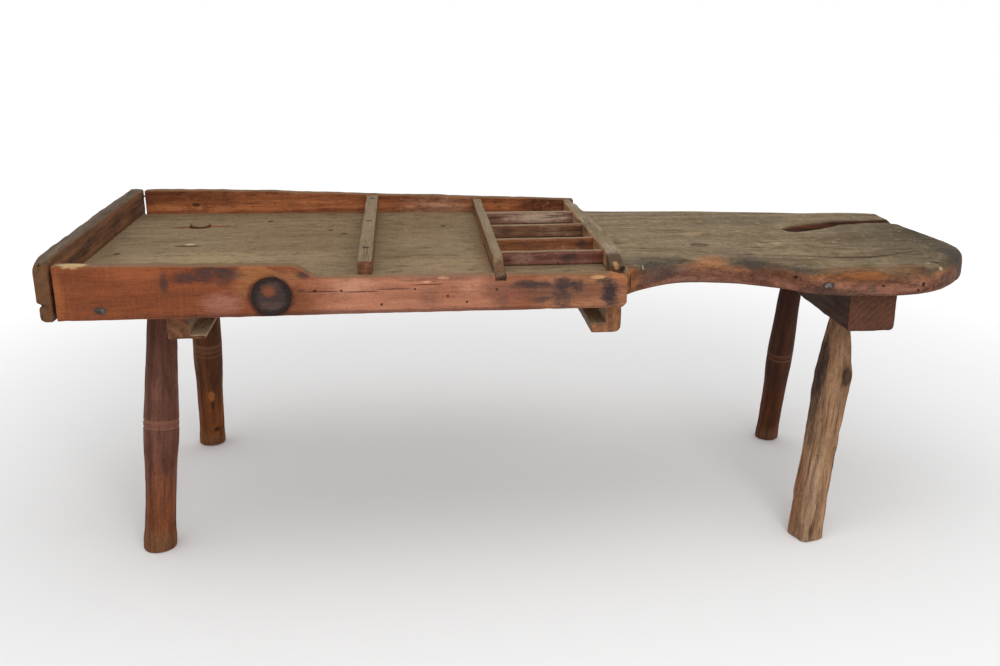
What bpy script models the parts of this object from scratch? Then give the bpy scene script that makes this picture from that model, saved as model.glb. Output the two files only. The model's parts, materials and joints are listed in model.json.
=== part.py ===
"""A cobbler's bench: one long plank with a shaped seat at its right end and a railed tool tray at its
left end, standing on four splayed legs.

While it is modelled, X runs from the inner face of the tray's end board towards the seat, Y runs back
from the outer face of the front rail, and Z runs up from the floor, all in metres. An empty carries
every piece and brings the middle of the bench's footprint to the origin.
"""

import math
from typing import NamedTuple

import bmesh
import bpy
from mathutils import Vector

# Clearances
FIT = 0.0003                   # between pieces that touch
END_GAP_FRONT = 0.0035         # shrinkage gap between the end board and the front rail
END_GAP_BACK = 0.0055          # the same at the back rail
RUNNER_LEG_GAP = 0.001         # between the left drawer runner and the front tray leg's neck
CUT_REACH = 0.004              # how far a cutter stands out past the wood that it cuts

# Plank
SEAT_HEIGHT = 0.414            # top of the plank above the floor
PLANK_THICKNESS = 0.037
TRAY_LENGTH = 0.7575           # end board's inner face to the front rail's right end
TRAY_DEPTH_LEFT = 0.506        # front rail's outer face to the plank's back edge, at the end board
TRAY_DEPTH_RIGHT = 0.466       # the same at the tray's right end
NECK_START = 0.014             # the waist leaves the front rail this far before the rail's end
SEAT_TOP_ROUND = 0.009         # worn rounding of the seat's upper edge
SEAT_BOTTOM_ROUND = 0.004
# Outline of the waist and the seat, from the front rail round to the back rail. Each point is the
# distance past the tray's right end and the distance behind the front rail's outer face.
WAIST = ((0.033, 0.062), (0.085, 0.091), (0.128, 0.095), (0.184, 0.081), (0.234, 0.052), (0.279, 0.017))
SEAT_FRONT = ((0.335, 0.003), (0.389, 0.000), (0.440, 0.013), (0.486, 0.046), (0.525, 0.097))
SEAT_END = ((0.546, 0.150), (0.541, 0.205), (0.528, 0.300), (0.525, 0.370), (0.511, 0.401))
SEAT_BACK = ((0.391, 0.418), (0.219, 0.446))
# The split along the grain of the seat, in the same two distances: its steep front lip and the back
# edge of its slope. Both run out through the seat's right end.
SPLIT_LIP = ((0.336, 0.258), (0.366, 0.258), (0.401, 0.274), (0.421, 0.288), (0.448, 0.307), (0.560, 0.311))
SPLIT_START = (0.313, 0.272)
SPLIT_SLOPE = ((0.560, 0.317), (0.495, 0.325), (0.461, 0.333), (0.417, 0.330), (0.383, 0.316), (0.348, 0.296))
SPLIT_DEPTH = 0.014            # at the lip
SPLIT_RUNOUT = 0.001           # depth where the slope and the start run out

# Rails round the tray
RAIL_THICKNESS = 0.021
RAIL_DROP = 0.0055             # rails and end board hang this far below the plank
RAIL_HIGH_LEFT = 0.032         # front rail's top above the plank, at the end board
RAIL_HIGH_RIGHT = 0.026        # the same where the step begins
RAIL_STEP_START = 0.304        # from the end board to the start of the curved step
RAIL_STEP_LENGTH = 0.040
RAIL_LOW_LEFT = 0.009          # front rail's top at the foot of the step
RAIL_LOW_RIGHT = 0.005         # the same just before the worn right corner
RAIL_WORN_LENGTH = 0.018       # the worn right corner
RAIL_WORN_DROP = 0.005
RAIL_CHIP = 0.006              # chip off the right bottom corner
BACK_RAIL_THICKNESS = 0.020
BACK_RAIL_HIGH = 0.040         # back rail's top above the plank, at its left end
BACK_RAIL_LOW = 0.019          # the same at its right end
BACK_RAIL_LEVEL_RUN = 0.130    # the level stretch at its left end
BACK_RAIL_SHORT = 0.0025       # it stops this far before the tray's right end

# End board
END_BOARD_THICKNESS = 0.025
END_BOARD_PAST = 0.018         # it runs this far past the plank's back edge
END_BOARD_HIGH = 0.039         # its top above the plank
END_BOARD_DROP = 0.0065        # its lower edge below the plank
END_BOARD_ROUND = 0.010        # worn rounding of its top edges
END_ROUND_LIMIT = 0.45         # the largest rounding, as a share of the thickness
END_GROOVE_LEVEL = 0.019       # middle of the groove outside, below the plank's top
END_GROOVE_HALF = 0.006
END_GROOVE_DEPTH = 0.005

# Boards that divide the tray
LEFT_BAY_LENGTH = 0.391        # end board to the cross divider
CROSS_DIVIDER_THICKNESS = 0.020
CROSS_DIVIDER_HEIGHT = 0.026
COMPARTMENT_LENGTH = 0.1455    # clear width between compartment divider and tray end wall
DIVIDER_THICKNESS = 0.015
DIVIDER_HEIGHT = 0.0225
END_WALL_THICKNESS = 0.0205
END_WALL_HIGH_FRONT = 0.024
END_WALL_HIGH_BACK = 0.0210
END_WALL_WAVE = 0.0018         # the waney outer face swings in and out by this much
END_WALL_WAVE_LENGTH = 0.170
PARTITION_THICKNESS = 0.0085
PARTITION_HEIGHT = 0.020
COMPARTMENT_SHARES = (0.057, 0.0725, 0.0885, 0.0965, 0.097)   # how the compartments share the tray's depth
DADO_DEPTH = 0.004

# Drawer runners under the tray
RUNNER_SETBACK = 0.034         # their front ends behind the front rail's outer face
RUNNER_BACK_GAP = 0.020        # their back ends before the back leg
LEFT_RUNNER_HEIGHT = 0.0445
LEFT_RUNNER_WIDTH = 0.030
LEFT_LEDGE_WIDTH = 0.021
LEFT_LEDGE_THICKNESS = 0.0045
RIGHT_RUNNER_HEIGHT = 0.0515
RIGHT_RUNNER_WIDTH = 0.022
RIGHT_LEDGE_WIDTH = 0.021
RIGHT_LEDGE_THICKNESS = 0.0135
RUNNER_ROUND = 0.011           # rounded bottom corner of the right runner

# Cleat under the seat
CLEAT_FROM_TRAY = 0.3325       # tray's right end to the cleat's left face
CLEAT_WIDTH = 0.070
CLEAT_HEIGHT = 0.061
CLEAT_SETBACK = 0.034          # its front end behind the front rail's outer face
CLEAT_LENGTH = 0.346
SOCKET_ROOF = 0.019            # wood left above the seat legs' blind sockets
CLEAT_ROUND = 0.003
FRONT_SEAT_LEG_INSET = (0.0195, 0.071)   # the leg's axis from the cleat's left face and front end
BACK_SEAT_LEG_INSET = (0.022, 0.060)     # the same from its left face and back end

EDGE_WEAR = 0.0012             # softened edges of rails, dividers and runners

# Nails
NAIL_HEAD_RADIUS = 0.0040
NAIL_HEAD_PROUD = 0.0006       # how far a head stands above the wood
NAIL_HEAD_SINK = 0.0016        # how deep it is driven in
NAIL_SHANK_RADIUS = 0.0017
NAIL_TIP_RADIUS = 0.0006
NAIL_CROWN = 0.6               # the flat of a head's crown, as a share of the head
NAIL_BITE = 0.024              # how far a nail goes into the edge that holds it
NAIL_COVER = 0.013             # wood left past the tip of a nail that goes straight up or down
EDGE_NAIL_HEAD_RADIUS = 0.0055  # the large nail in the seat's edge
EDGE_NAIL_DEPTH = 0.034
# Along the front rail: distance from its right end, and the share of the plank's thickness from its top
FRONT_NAILS = ((0.4235, 0.25), (0.3875, 0.25), (0.3345, 0.80), (0.2895, 0.25), (0.2455, 0.54),
               (0.2195, 0.78), (0.179, 0.34))
CORNER_NAIL = (0.055, 0.78)    # the same for the nail near the end board, but from that board
EDGE_NAIL_LEVEL = 0.5          # share of the thickness for the back and end nails
BACK_NAIL_COUNT = 4            # along the back rail, into the plank
BACK_NAIL_INSET = 0.065        # the first and the last from the tray's ends
END_NAIL_INSET = 0.060         # the end board's outer nails from the plank's edges
DIVIDER_NAIL_FRONT = 0.075     # the cross divider's first nail from the front rail
DIVIDER_NAIL_BACK = 0.030      # its last nail from the back rail
RUNNER_NAIL_INSET = 0.050      # from each end of a runner
CLEAT_NAIL_INSET = 0.018       # from each end and from the right face of the cleat
SEAT_EDGE_NAIL = 0.290         # past the tray's right end
SEAT_EDGE_NAIL_LEVEL = 0.022   # below the seat's top

LEG_SIDES = 20
NAIL_SIDES = 6
CURVE_STEPS = 5                # points along each span of the plank's outline
ARC_STEPS = 4                  # points along each rounded corner
WALL_STEPS = 24                # points along the waney strip
EDGE_STEPS = 2                 # steps round a softened edge
SHARP_ANGLE = 38               # degrees; a sharper edge is softened, or stays sharp on a round piece

TOP = SEAT_HEIGHT
UNDERSIDE = TOP - PLANK_THICKNESS
RAIL_BOTTOM = UNDERSIDE - RAIL_DROP
PLANK_FRONT = RAIL_THICKNESS + FIT
PLANK_LEFT = FIT
TAPER = (TRAY_DEPTH_RIGHT - TRAY_DEPTH_LEFT) / TRAY_LENGTH
END_WALL_X = TRAY_LENGTH - END_WALL_THICKNESS
DIVIDER_RIGHT = END_WALL_X - COMPARTMENT_LENGTH
DIVIDER_LEFT = DIVIDER_RIGHT - DIVIDER_THICKNESS
CLEAT_LEFT = TRAY_LENGTH + CLEAT_FROM_TRAY
CLEAT_TOP = UNDERSIDE - FIT
CLEAT_BOTTOM = CLEAT_TOP - CLEAT_HEIGHT
CLEAT_BACK = CLEAT_SETBACK + CLEAT_LENGTH
SOCKET_TOP = CLEAT_TOP - SOCKET_ROOF
NECK_LENGTH = 0.008            # a leg is as slim as its tenon this far below the joint


class Leg(NamedTuple):
    """A leg: where its axis enters the wood above, how far its foot stands from there, its radii, and the
    height and number of its turned rings. A leg without rings has its knot at that height."""
    entry: Vector
    splay: tuple
    tenon: float
    neck: float
    ring: float
    shaft: float
    foot: float
    ring_height: float
    rings: int


FRONT_TRAY_LEG = Leg(entry=Vector((0.110, 0.133, TOP)), splay=(-0.0286, -0.065), tenon=0.0165,
                     neck=0.0195, ring=0.0252, shaft=0.0222, foot=0.0245, ring_height=0.184, rings=2)
BACK_TRAY_LEG = Leg(entry=Vector((0.1185, 0.391, TOP)), splay=(-0.0241, 0.063), tenon=0.0165,
                    neck=0.0205, ring=0.0250, shaft=0.0222, foot=0.0228, ring_height=0.190, rings=3)
BACK_SEAT_LEG = Leg(entry=Vector((CLEAT_LEFT + BACK_SEAT_LEG_INSET[0], CLEAT_BACK - BACK_SEAT_LEG_INSET[1],
                                  CLEAT_BOTTOM)),
                    splay=(0.001, 0.065), tenon=0.0130, neck=0.0180, ring=0.0213, shaft=0.0187,
                    foot=0.0195, ring_height=0.174, rings=2)
FRONT_SEAT_LEG = Leg(entry=Vector((CLEAT_LEFT + FRONT_SEAT_LEG_INSET[0],
                                   CLEAT_SETBACK + FRONT_SEAT_LEG_INSET[1], CLEAT_BOTTOM)),
                     splay=(-0.0585, -0.0895), tenon=0.0140, neck=0.0200, ring=0.0265, shaft=0.0238,
                     foot=0.0240, ring_height=0.236, rings=0)
RING_GROOVE = 0.0016           # depth of a turned ring
RING_PITCH = 0.010             # between two rings
FOOT_FLARE = 0.030             # height over which a turned foot flares
SHAFT_SHARE = 0.62             # the plain shaft ends at this share of the rings' height
SWELL_SHARE = 0.2              # the swelling and the neck end at these shares of the way from the
NECK_SHARE = 0.7               # rings up to the joint
# The hewn leg's facets, as shares of its mean radius, and its run: the height as a share of the knot's,
# the radius as a share of the shaft's, and how far the branch wanders sideways
HEWN_FACETS = (1.02, 0.95, 1.05, 0.96, 1.03, 0.94, 1.04, 0.97)
HEWN_RUN = ((0.25, 1.06, -0.003), (0.50, 0.98, -0.001), (0.78, 1.02, 0.001), (0.96, 1.12, 0.002),
            (1.06, 1.11, 0.002))

for old in list(bpy.data.objects):
    bpy.data.objects.remove(old, do_unlink=True)

bench = bpy.data.objects.new("bench", None)
bpy.context.collection.objects.link(bench)
pieces = []


def finish(name, colour, roughness, metallic=0.0):
    """A plain Principled material."""
    made = bpy.data.materials.new(name)
    made.use_nodes = True
    shader = made.node_tree.nodes["Principled BSDF"]
    shader.inputs["Base Color"].default_value = (*colour, 1.0)
    shader.inputs["Roughness"].default_value = roughness
    shader.inputs["Metallic"].default_value = metallic
    return made


def loft(rings):
    """A closed mesh through rings that have the same number of points, with a face on both ends."""
    bm = bmesh.new()
    loops = [[bm.verts.new(point) for point in ring] for ring in rings]
    for lower, upper in zip(loops, loops[1:]):
        for i, vert in enumerate(lower):
            j = (i + 1) % len(lower)
            bm.faces.new((vert, lower[j], upper[j], upper[i]))
    bm.faces.new(loops[0])
    bm.faces.new(loops[-1])
    bmesh.ops.recalc_face_normals(bm, faces=bm.faces)
    return bm


def block(low, high):
    """A rectangular solid between two corners."""
    plan = ((low[0], low[1]), (high[0], low[1]), (high[0], high[1]), (low[0], high[1]))
    return loft([[(x, y, z) for x, y in plan] for z in (low[2], high[2])])


def add_object(name, bm, material=None):
    """Turns a mesh into an object that the bench carries."""
    mesh = bpy.data.meshes.new(name)
    bm.to_mesh(mesh)
    bm.free()
    if material:
        mesh.materials.append(material)
    made = bpy.data.objects.new(name, mesh)
    made.parent = bench
    bpy.context.collection.objects.link(made)
    return made


def add_piece(name, bm, material, edge=0.0, smooth=False):
    """One piece of the bench, its sharp edges softened by edge."""
    piece = add_object(name, bm, material)
    if smooth:
        piece.data.shade_smooth()
        piece.data.set_sharp_from_angle(angle=math.radians(SHARP_ANGLE))
    if edge:
        bevel = piece.modifiers.new("worn edges", "BEVEL")
        bevel.width = edge
        bevel.segments = EDGE_STEPS
        bevel.limit_method = "ANGLE"
        bevel.angle_limit = math.radians(SHARP_ANGLE)
    pieces.append(piece)
    return piece


def place(made, location, turn):
    """Stands an object at a point of the bench, turned by a quaternion."""
    made.location = location
    made.rotation_mode = "QUATERNION"
    made.rotation_quaternion = turn


def cut(piece, bm, what, like=None):
    """Cuts a closed mesh out of a piece. The mesh is in the bench's coordinates, or in those of like."""
    cutter = add_object(f"{piece.name}_{what}", bm)
    cutter.hide_render = True
    cutter.display_type = "WIRE"
    if like:
        cutter.matrix_basis = like.matrix_basis
    boolean = piece.modifiers.new(what, "BOOLEAN")
    boolean.operation = "DIFFERENCE"
    boolean.solver = "EXACT"
    boolean.object = cutter


def joined(meshes):
    """Several closed meshes in one, for a cutter that makes many holes at once."""
    result = bmesh.new()
    for bm in meshes:
        part = bpy.data.meshes.new("hole")
        bm.to_mesh(part)
        bm.free()
        result.from_mesh(part)
        bpy.data.meshes.remove(part)
    return result


def smooth_path(points, before, after):
    """A Catmull-Rom curve through points; before and after steer its two ends."""
    knots = [Vector(p) for p in (before, *points, after)]
    path = []
    for p0, p1, p2, p3 in zip(knots, knots[1:], knots[2:], knots[3:]):
        for step in range(CURVE_STEPS):
            t = step / CURVE_STEPS
            path.append(0.5 * (2 * p1 + (p2 - p0) * t + (2 * p0 - 5 * p1 + 4 * p2 - p3) * t ** 2
                               + (3 * p1 - p0 - 3 * p2 + p3) * t ** 3))
    path.append(knots[-2])
    return path


def arc(centre, radius, start, end):
    """Points along an arc, angles in degrees."""
    angles = [math.radians(start + (end - start) * i / ARC_STEPS) for i in range(ARC_STEPS + 1)]
    return [(centre[0] + radius * math.cos(a), centre[1] + radius * math.sin(a)) for a in angles]


def back_edge(x):
    """Where the plank's back edge runs, along the tray."""
    return TRAY_DEPTH_LEFT + TAPER * x


def leg_foot(leg):
    """Where the leg's axis meets the floor."""
    return Vector((leg.entry.x + leg.splay[0], leg.entry.y + leg.splay[1], 0.0))


def leg_lean(leg):
    """How the leg's axis is turned away from upright."""
    return Vector((0, 0, 1)).rotation_difference(leg.entry - leg_foot(leg))


def turned(profile, sides, lean, level_ends=(False, False), facets=None):
    """A solid about its own Z axis, which leans. The profile gives heights above the floor, radii and how
    far the middle wanders along X. A level end is cut parallel to the floor, any other square to the
    axis. Facets make the solid uneven, apart from the round tenon that the last two rings form."""
    up = lean.inverted() @ Vector((0, 0, 1))
    last = len(profile) - 1
    rings = []
    for place_along, (height, radius, wander) in enumerate(profile):
        level = (place_along == 0 and level_ends[0]) or (place_along == last and level_ends[1])
        ring = []
        for side in range(sides):
            angle = math.tau * side / sides
            reach = radius * facets[side] if facets and place_along < last - 1 else radius
            point = Vector((reach * math.cos(angle) + wander, reach * math.sin(angle), height / up.z))
            if level:
                point.z -= (point.x * up.x + point.y * up.y) / up.z
            ring.append(point)
        rings.append(ring)
    return loft(rings)


def add_leg(name, leg, profile, material, level_ends, facets=None):
    """A leg that stands on its foot and leans towards its joint."""
    sides = len(facets) if facets else LEG_SIDES
    made = add_piece(name, turned(profile, sides, leg_lean(leg), level_ends, facets), material,
                     smooth=not facets)
    place(made, leg_foot(leg), leg_lean(leg))
    return made


def leg_socket(leg, bottom, top):
    """The hole for a leg's tenon, in the leg's own coordinates."""
    radius = leg.tenon + FIT
    return turned(((bottom, radius, 0.0), (top, radius, 0.0)), LEG_SIDES, leg_lean(leg))


def nail_shape(length, head_radius, clearance):
    """A nail that points down from the wood's surface at height 0, or its hole with a clearance."""
    head = head_radius + clearance
    shank = NAIL_SHANK_RADIUS + clearance
    seat = -NAIL_HEAD_SINK + (0.0 if clearance else FIT)
    crown = ((CUT_REACH, head),) if clearance else ((NAIL_HEAD_PROUD, head * NAIL_CROWN), (0.0, head))
    profile = (*crown, (seat, head), (seat, shank), (-length - clearance, NAIL_TIP_RADIUS + clearance))
    angles = [math.tau * side / NAIL_SIDES for side in range(NAIL_SIDES)]
    return loft([[(r * math.cos(a), r * math.sin(a), z) for a in angles] for z, r in profile])


holes = {}


def drive_nail(name, point, direction, length, through, head_radius=NAIL_HEAD_RADIUS):
    """A nail driven from a point on the surface along a direction, through the given pieces."""
    nail = add_piece(name, nail_shape(length, head_radius, 0.0), iron)
    place(nail, Vector(point), Vector((0, 0, -1)).rotation_difference(Vector(direction)))
    for piece in through:
        hole = nail_shape(length, head_radius, FIT)
        hole.transform(nail.matrix_basis)
        holes.setdefault(piece.name, (piece, []))[1].append(hole)


weathered = finish("weathered_plank", (0.135, 0.100, 0.062), 0.75)
red_board = finish("red_brown_board", (0.170, 0.066, 0.032), 0.65)
grey_board = finish("grey_brown_board", (0.110, 0.078, 0.048), 0.75)
dark_oak = finish("dark_red_wood", (0.085, 0.036, 0.022), 0.60)
branch = finish("tan_branch_wood", (0.190, 0.110, 0.056), 0.75)
iron = finish("grey_iron", (0.120, 0.115, 0.110), 0.55, 0.8)

# The plank: a slab whose outline runs from the tray round the waist and the seat. The rounding of its
# edges fades out towards the tray, where the rails lie against square edges.
neck = (TRAY_LENGTH - NECK_START, PLANK_FRONT)
seat_points = [(TRAY_LENGTH + x, y) for x, y in (*WAIST, *SEAT_FRONT, *SEAT_END, *SEAT_BACK)]
tray_corner = (TRAY_LENGTH, back_edge(TRAY_LENGTH))
outline = [Vector((PLANK_LEFT, PLANK_FRONT))]
before_neck = (neck[0] - NECK_START, PLANK_FRONT)
after_corner = (neck[0] - NECK_START, back_edge(neck[0] - NECK_START))
outline += smooth_path((neck, *seat_points, tray_corner), before_neck, after_corner)
outline.append(Vector((PLANK_LEFT, back_edge(PLANK_LEFT))))
roundness = []
inward = []
for i, point in enumerate(outline):
    along = outline[(i + 1) % len(outline)] - outline[i - 1]
    inward.append(Vector((-along.y, along.x)).normalized())
    past_tray = (point.x - neck[0]) / (seat_points[1][0] - neck[0])
    roundness.append(min(max(past_tray, 0.0), 1.0))
plank_rings = []
for step in range(ARC_STEPS + 1):
    angle = math.radians(90 * step / ARC_STEPS)
    plank_rings.append((TOP - SEAT_TOP_ROUND * (1 - math.cos(angle)), SEAT_TOP_ROUND * (1 - math.sin(angle))))
plank_rings += [(UNDERSIDE + SEAT_BOTTOM_ROUND, 0.0), (UNDERSIDE, SEAT_BOTTOM_ROUND)]
plank = add_piece("bench_plank", loft([
    [(*(point + normal * inset * share), z) for point, normal, share in zip(outline, inward, roundness)]
    for z, inset in plank_rings]), weathered)

# The split in the seat: steep at its front lip, sloping up towards the back
split_plan = [(SPLIT_START, SPLIT_RUNOUT), *((p, SPLIT_DEPTH) for p in SPLIT_LIP),
              *((p, SPLIT_RUNOUT) for p in SPLIT_SLOPE)]
cut(plank, loft([[(TRAY_LENGTH + p[0], p[1], TOP - depth) for p, depth in split_plan],
                 [(TRAY_LENGTH + p[0], p[1], TOP + CUT_REACH) for p, depth in split_plan]]), "split")

# The front rail: high along the left bay, stepping down in a curve, with a notch for the tail of the
# compartment divider
rail_left = END_GAP_FRONT
rail_step = []
for i in range(2 * ARC_STEPS + 1):
    share = i / (2 * ARC_STEPS)
    ease = share * share * (3 - 2 * share)
    rail_step.append((RAIL_STEP_START + RAIL_STEP_LENGTH * share,
                      TOP + RAIL_HIGH_RIGHT + (RAIL_LOW_LEFT - RAIL_HIGH_RIGHT) * ease))
rail_low = (RAIL_LOW_RIGHT - RAIL_LOW_LEFT) / (TRAY_LENGTH - RAIL_STEP_START - RAIL_STEP_LENGTH)


def rail_low_top(x):
    """Top of the front rail's low stretch."""
    return TOP + RAIL_LOW_LEFT + rail_low * (x - RAIL_STEP_START - RAIL_STEP_LENGTH)


notch = [(DIVIDER_LEFT - FIT, rail_low_top(DIVIDER_LEFT)), (DIVIDER_LEFT - FIT, TOP),
         (DIVIDER_RIGHT + FIT, TOP), (DIVIDER_RIGHT + FIT, rail_low_top(DIVIDER_RIGHT))]
worn_start = TRAY_LENGTH - RAIL_WORN_LENGTH
rail_outline = [(rail_left, RAIL_BOTTOM), (rail_left, TOP + RAIL_HIGH_LEFT), *rail_step, *notch,
                (worn_start, rail_low_top(worn_start)),
                (TRAY_LENGTH, rail_low_top(TRAY_LENGTH) - RAIL_WORN_DROP),
                (TRAY_LENGTH, RAIL_BOTTOM + RAIL_CHIP), (TRAY_LENGTH - RAIL_CHIP, RAIL_BOTTOM)]
front_rail = add_piece("front_rail", loft([[(x, y, z) for x, z in rail_outline]
                                           for y in (0.0, RAIL_THICKNESS)]), red_board, EDGE_WEAR)

# The back rail: it follows the plank's slanting back edge and gets lower towards the seat
back_slant = math.atan(TAPER)
back_length = (TRAY_LENGTH - BACK_RAIL_SHORT - END_GAP_BACK) / math.cos(back_slant)
back_outline = [(0.0, RAIL_BOTTOM), (0.0, TOP + BACK_RAIL_HIGH), (BACK_RAIL_LEVEL_RUN, TOP + BACK_RAIL_HIGH),
                (back_length, TOP + BACK_RAIL_LOW), (back_length, RAIL_BOTTOM)]
back_rail = add_piece("back_rail", loft([[(x, y, z) for x, z in back_outline]
                                         for y in (0.0, BACK_RAIL_THICKNESS)]), red_board, EDGE_WEAR)
back_rail.location = (END_GAP_BACK, back_edge(END_GAP_BACK) + FIT / math.cos(back_slant), 0.0)
back_rail.rotation_euler = (0.0, 0.0, back_slant)

# The end board: nailed across the plank's left end, its top worn round and its outer face grooved
end_top = TOP + END_BOARD_HIGH
end_bottom = UNDERSIDE - END_BOARD_DROP
end_back = TRAY_DEPTH_LEFT + END_BOARD_PAST
groove = TOP - END_GROOVE_LEVEL
end_round = min(END_BOARD_ROUND, END_ROUND_LIMIT * END_BOARD_THICKNESS)
end_profile = [(0.0, end_bottom), *arc((-end_round, end_top - end_round), end_round, 0, 90),
               *arc((end_round - END_BOARD_THICKNESS, end_top - end_round), end_round, 90, 180),
               (-END_BOARD_THICKNESS, groove + END_GROOVE_HALF),
               (END_GROOVE_DEPTH - END_BOARD_THICKNESS, groove),
               (-END_BOARD_THICKNESS, groove - END_GROOVE_HALF),
               (-END_BOARD_THICKNESS, end_bottom + END_GROOVE_DEPTH),
               (END_GROOVE_DEPTH - END_BOARD_THICKNESS, end_bottom)]
end_board = add_piece("end_board", loft([[(x, y, z) for x, z in end_profile]
                                         for y in (0.0, end_back)]), grey_board, EDGE_WEAR)

# The cross divider: a plain board from rail to rail, standing on the plank
cross_left = LEFT_BAY_LENGTH
cross_right = cross_left + CROSS_DIVIDER_THICKNESS
tray_floor = TOP + FIT


def across(x, height):
    """The outline of a plain board that stands across the tray, in the plane at x."""
    return [(x, PLANK_FRONT, tray_floor), (x, back_edge(x), tray_floor),
            (x, back_edge(x), TOP + height), (x, PLANK_FRONT, TOP + height)]


cross_divider = add_piece("cross_divider", loft([across(x, CROSS_DIVIDER_HEIGHT)
                                                 for x in (cross_left, cross_right)]), grey_board, EDGE_WEAR)

# The compartment divider: its front end has a tail that lies in the front rail's notch
tail_top = rail_low_top(DIVIDER_RIGHT)
compartment_divider = add_piece("compartment_divider", loft([
    [(x, 0.0, tray_floor), *across(x, DIVIDER_HEIGHT)[1:], (x, PLANK_FRONT, tail_top), (x, 0.0, tail_top)]
    for x in (DIVIDER_LEFT, DIVIDER_RIGHT)]), grey_board, EDGE_WEAR)

# The tray end wall: a waney strip that closes the tray towards the seat
wall_rings = []
for i in range(WALL_STEPS + 1):
    share = i / WALL_STEPS
    swing = END_WALL_WAVE * math.sin(math.tau * share * TRAY_DEPTH_RIGHT / END_WALL_WAVE_LENGTH)
    outer = TRAY_LENGTH - END_WALL_WAVE + swing
    high = TOP + END_WALL_HIGH_FRONT + (END_WALL_HIGH_BACK - END_WALL_HIGH_FRONT) * share
    wall_rings.append([(x, PLANK_FRONT + (back_edge(x) - PLANK_FRONT) * share, z)
                       for x, z in ((END_WALL_X, tray_floor), (outer, tray_floor), (outer, high),
                                    (END_WALL_X, high))])
end_wall = add_piece("tray_end_wall", loft(wall_rings), grey_board)

# Four partitions make five compartments. Their ends sit in dadoes in the divider and the end wall.
partition_count = len(COMPARTMENT_SHARES) - 1
clear_depth = back_edge(END_WALL_X) - PLANK_FRONT - partition_count * PARTITION_THICKNESS
partition_fronts = []
front = PLANK_FRONT
for share in COMPARTMENT_SHARES[:-1]:
    front += clear_depth * share / sum(COMPARTMENT_SHARES)
    partition_fronts.append(front)
    front += PARTITION_THICKNESS
partition_top = TOP + PARTITION_HEIGHT
for number, front in enumerate(partition_fronts, start=1):
    add_piece(f"partition_{number}",
              block((DIVIDER_RIGHT - DADO_DEPTH + FIT, front, tray_floor),
                    (END_WALL_X + DADO_DEPTH - FIT, front + PARTITION_THICKNESS, partition_top)), red_board)
for board, low, high in ((compartment_divider, DIVIDER_RIGHT - DADO_DEPTH, DIVIDER_RIGHT + CUT_REACH),
                         (end_wall, END_WALL_X - CUT_REACH, END_WALL_X + DADO_DEPTH)):
    cut(board, joined([block((low, front - FIT, tray_floor - CUT_REACH),
                             (high, front + PARTITION_THICKNESS + FIT, partition_top + FIT))
                       for front in partition_fronts]), "dadoes")

# Two drawer runners hang under the tray, each with a ledge that carried a drawer's side
runner_top = UNDERSIDE - FIT
left_bottom = runner_top - LEFT_RUNNER_HEIGHT
right_bottom = runner_top - RIGHT_RUNNER_HEIGHT
runner_back = BACK_TRAY_LEG.entry.y - BACK_TRAY_LEG.ring - RUNNER_BACK_GAP
left_x = FRONT_TRAY_LEG.entry.x + FRONT_TRAY_LEG.neck + RUNNER_LEG_GAP
left_inner = left_x + LEFT_RUNNER_WIDTH
left_profile = [(left_x, runner_top), (left_x, left_bottom),
                (left_inner + LEFT_LEDGE_WIDTH, left_bottom),
                (left_inner + LEFT_LEDGE_WIDTH, left_bottom + LEFT_LEDGE_THICKNESS),
                (left_inner, left_bottom + LEFT_LEDGE_THICKNESS), (left_inner, runner_top)]
right_inner = TRAY_LENGTH - RIGHT_RUNNER_WIDTH
right_profile = [(right_inner, runner_top), (right_inner, right_bottom + RIGHT_LEDGE_THICKNESS),
                 (right_inner - RIGHT_LEDGE_WIDTH, right_bottom + RIGHT_LEDGE_THICKNESS),
                 (right_inner - RIGHT_LEDGE_WIDTH, right_bottom),
                 *arc((TRAY_LENGTH - RUNNER_ROUND, right_bottom + RUNNER_ROUND), RUNNER_ROUND, -90, 0),
                 (TRAY_LENGTH, runner_top)]
left_runner, right_runner = [
    add_piece(f"{side}_drawer_runner", loft([[(x, y, z) for x, z in profile]
                                             for y in (RUNNER_SETBACK, runner_back)]), dark_oak, EDGE_WEAR)
    for side, profile in (("left", left_profile), ("right", right_profile))]

# The cleat: a thick batten across the underside of the seat, bored for the two seat legs
cleat = add_piece("seat_cleat", block((CLEAT_LEFT, CLEAT_SETBACK, CLEAT_BOTTOM),
                                      (CLEAT_LEFT + CLEAT_WIDTH, CLEAT_BACK, CLEAT_TOP)),
                  dark_oak, CLEAT_ROUND)


def turned_profile(leg, joint, top):
    """A turned leg: a flared foot, a plain shaft, a swelling with its rings, and a neck that tapers to the
    tenon just below the joint."""
    middle = leg.ring_height
    shoulder = joint - NECK_LENGTH
    rings = []
    for number in range(leg.rings):
        centre = middle + RING_PITCH * (number - (leg.rings - 1) / 2)
        rings += [(centre - RING_GROOVE, leg.ring), (centre, leg.ring - RING_GROOVE),
                  (centre + RING_GROOVE, leg.ring)]
    run = [(0.0, leg.foot), (FOOT_FLARE / 2, leg.foot), (FOOT_FLARE, leg.shaft),
           (middle * SHAFT_SHARE, leg.shaft), (middle - 2 * RING_PITCH, leg.ring), *rings,
           (middle + (shoulder - middle) * SWELL_SHARE, leg.ring),
           (middle + (shoulder - middle) * NECK_SHARE, leg.neck), (shoulder, leg.tenon), (top, leg.tenon)]
    return [(height, radius, 0.0) for height, radius in run]


def hewn_profile(leg, joint, top):
    """The leg hewn from a branch, thickest at its knot."""
    knot = leg.ring_height
    shoulder = joint - NECK_LENGTH
    return [(0.0, leg.foot, 0.0), *((knot * up, leg.shaft * share, wander) for up, share, wander in HEWN_RUN),
            ((knot + shoulder) / 2, leg.neck, 0.0), (shoulder, leg.tenon, 0.0), (top, leg.tenon, 0.0)]


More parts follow.
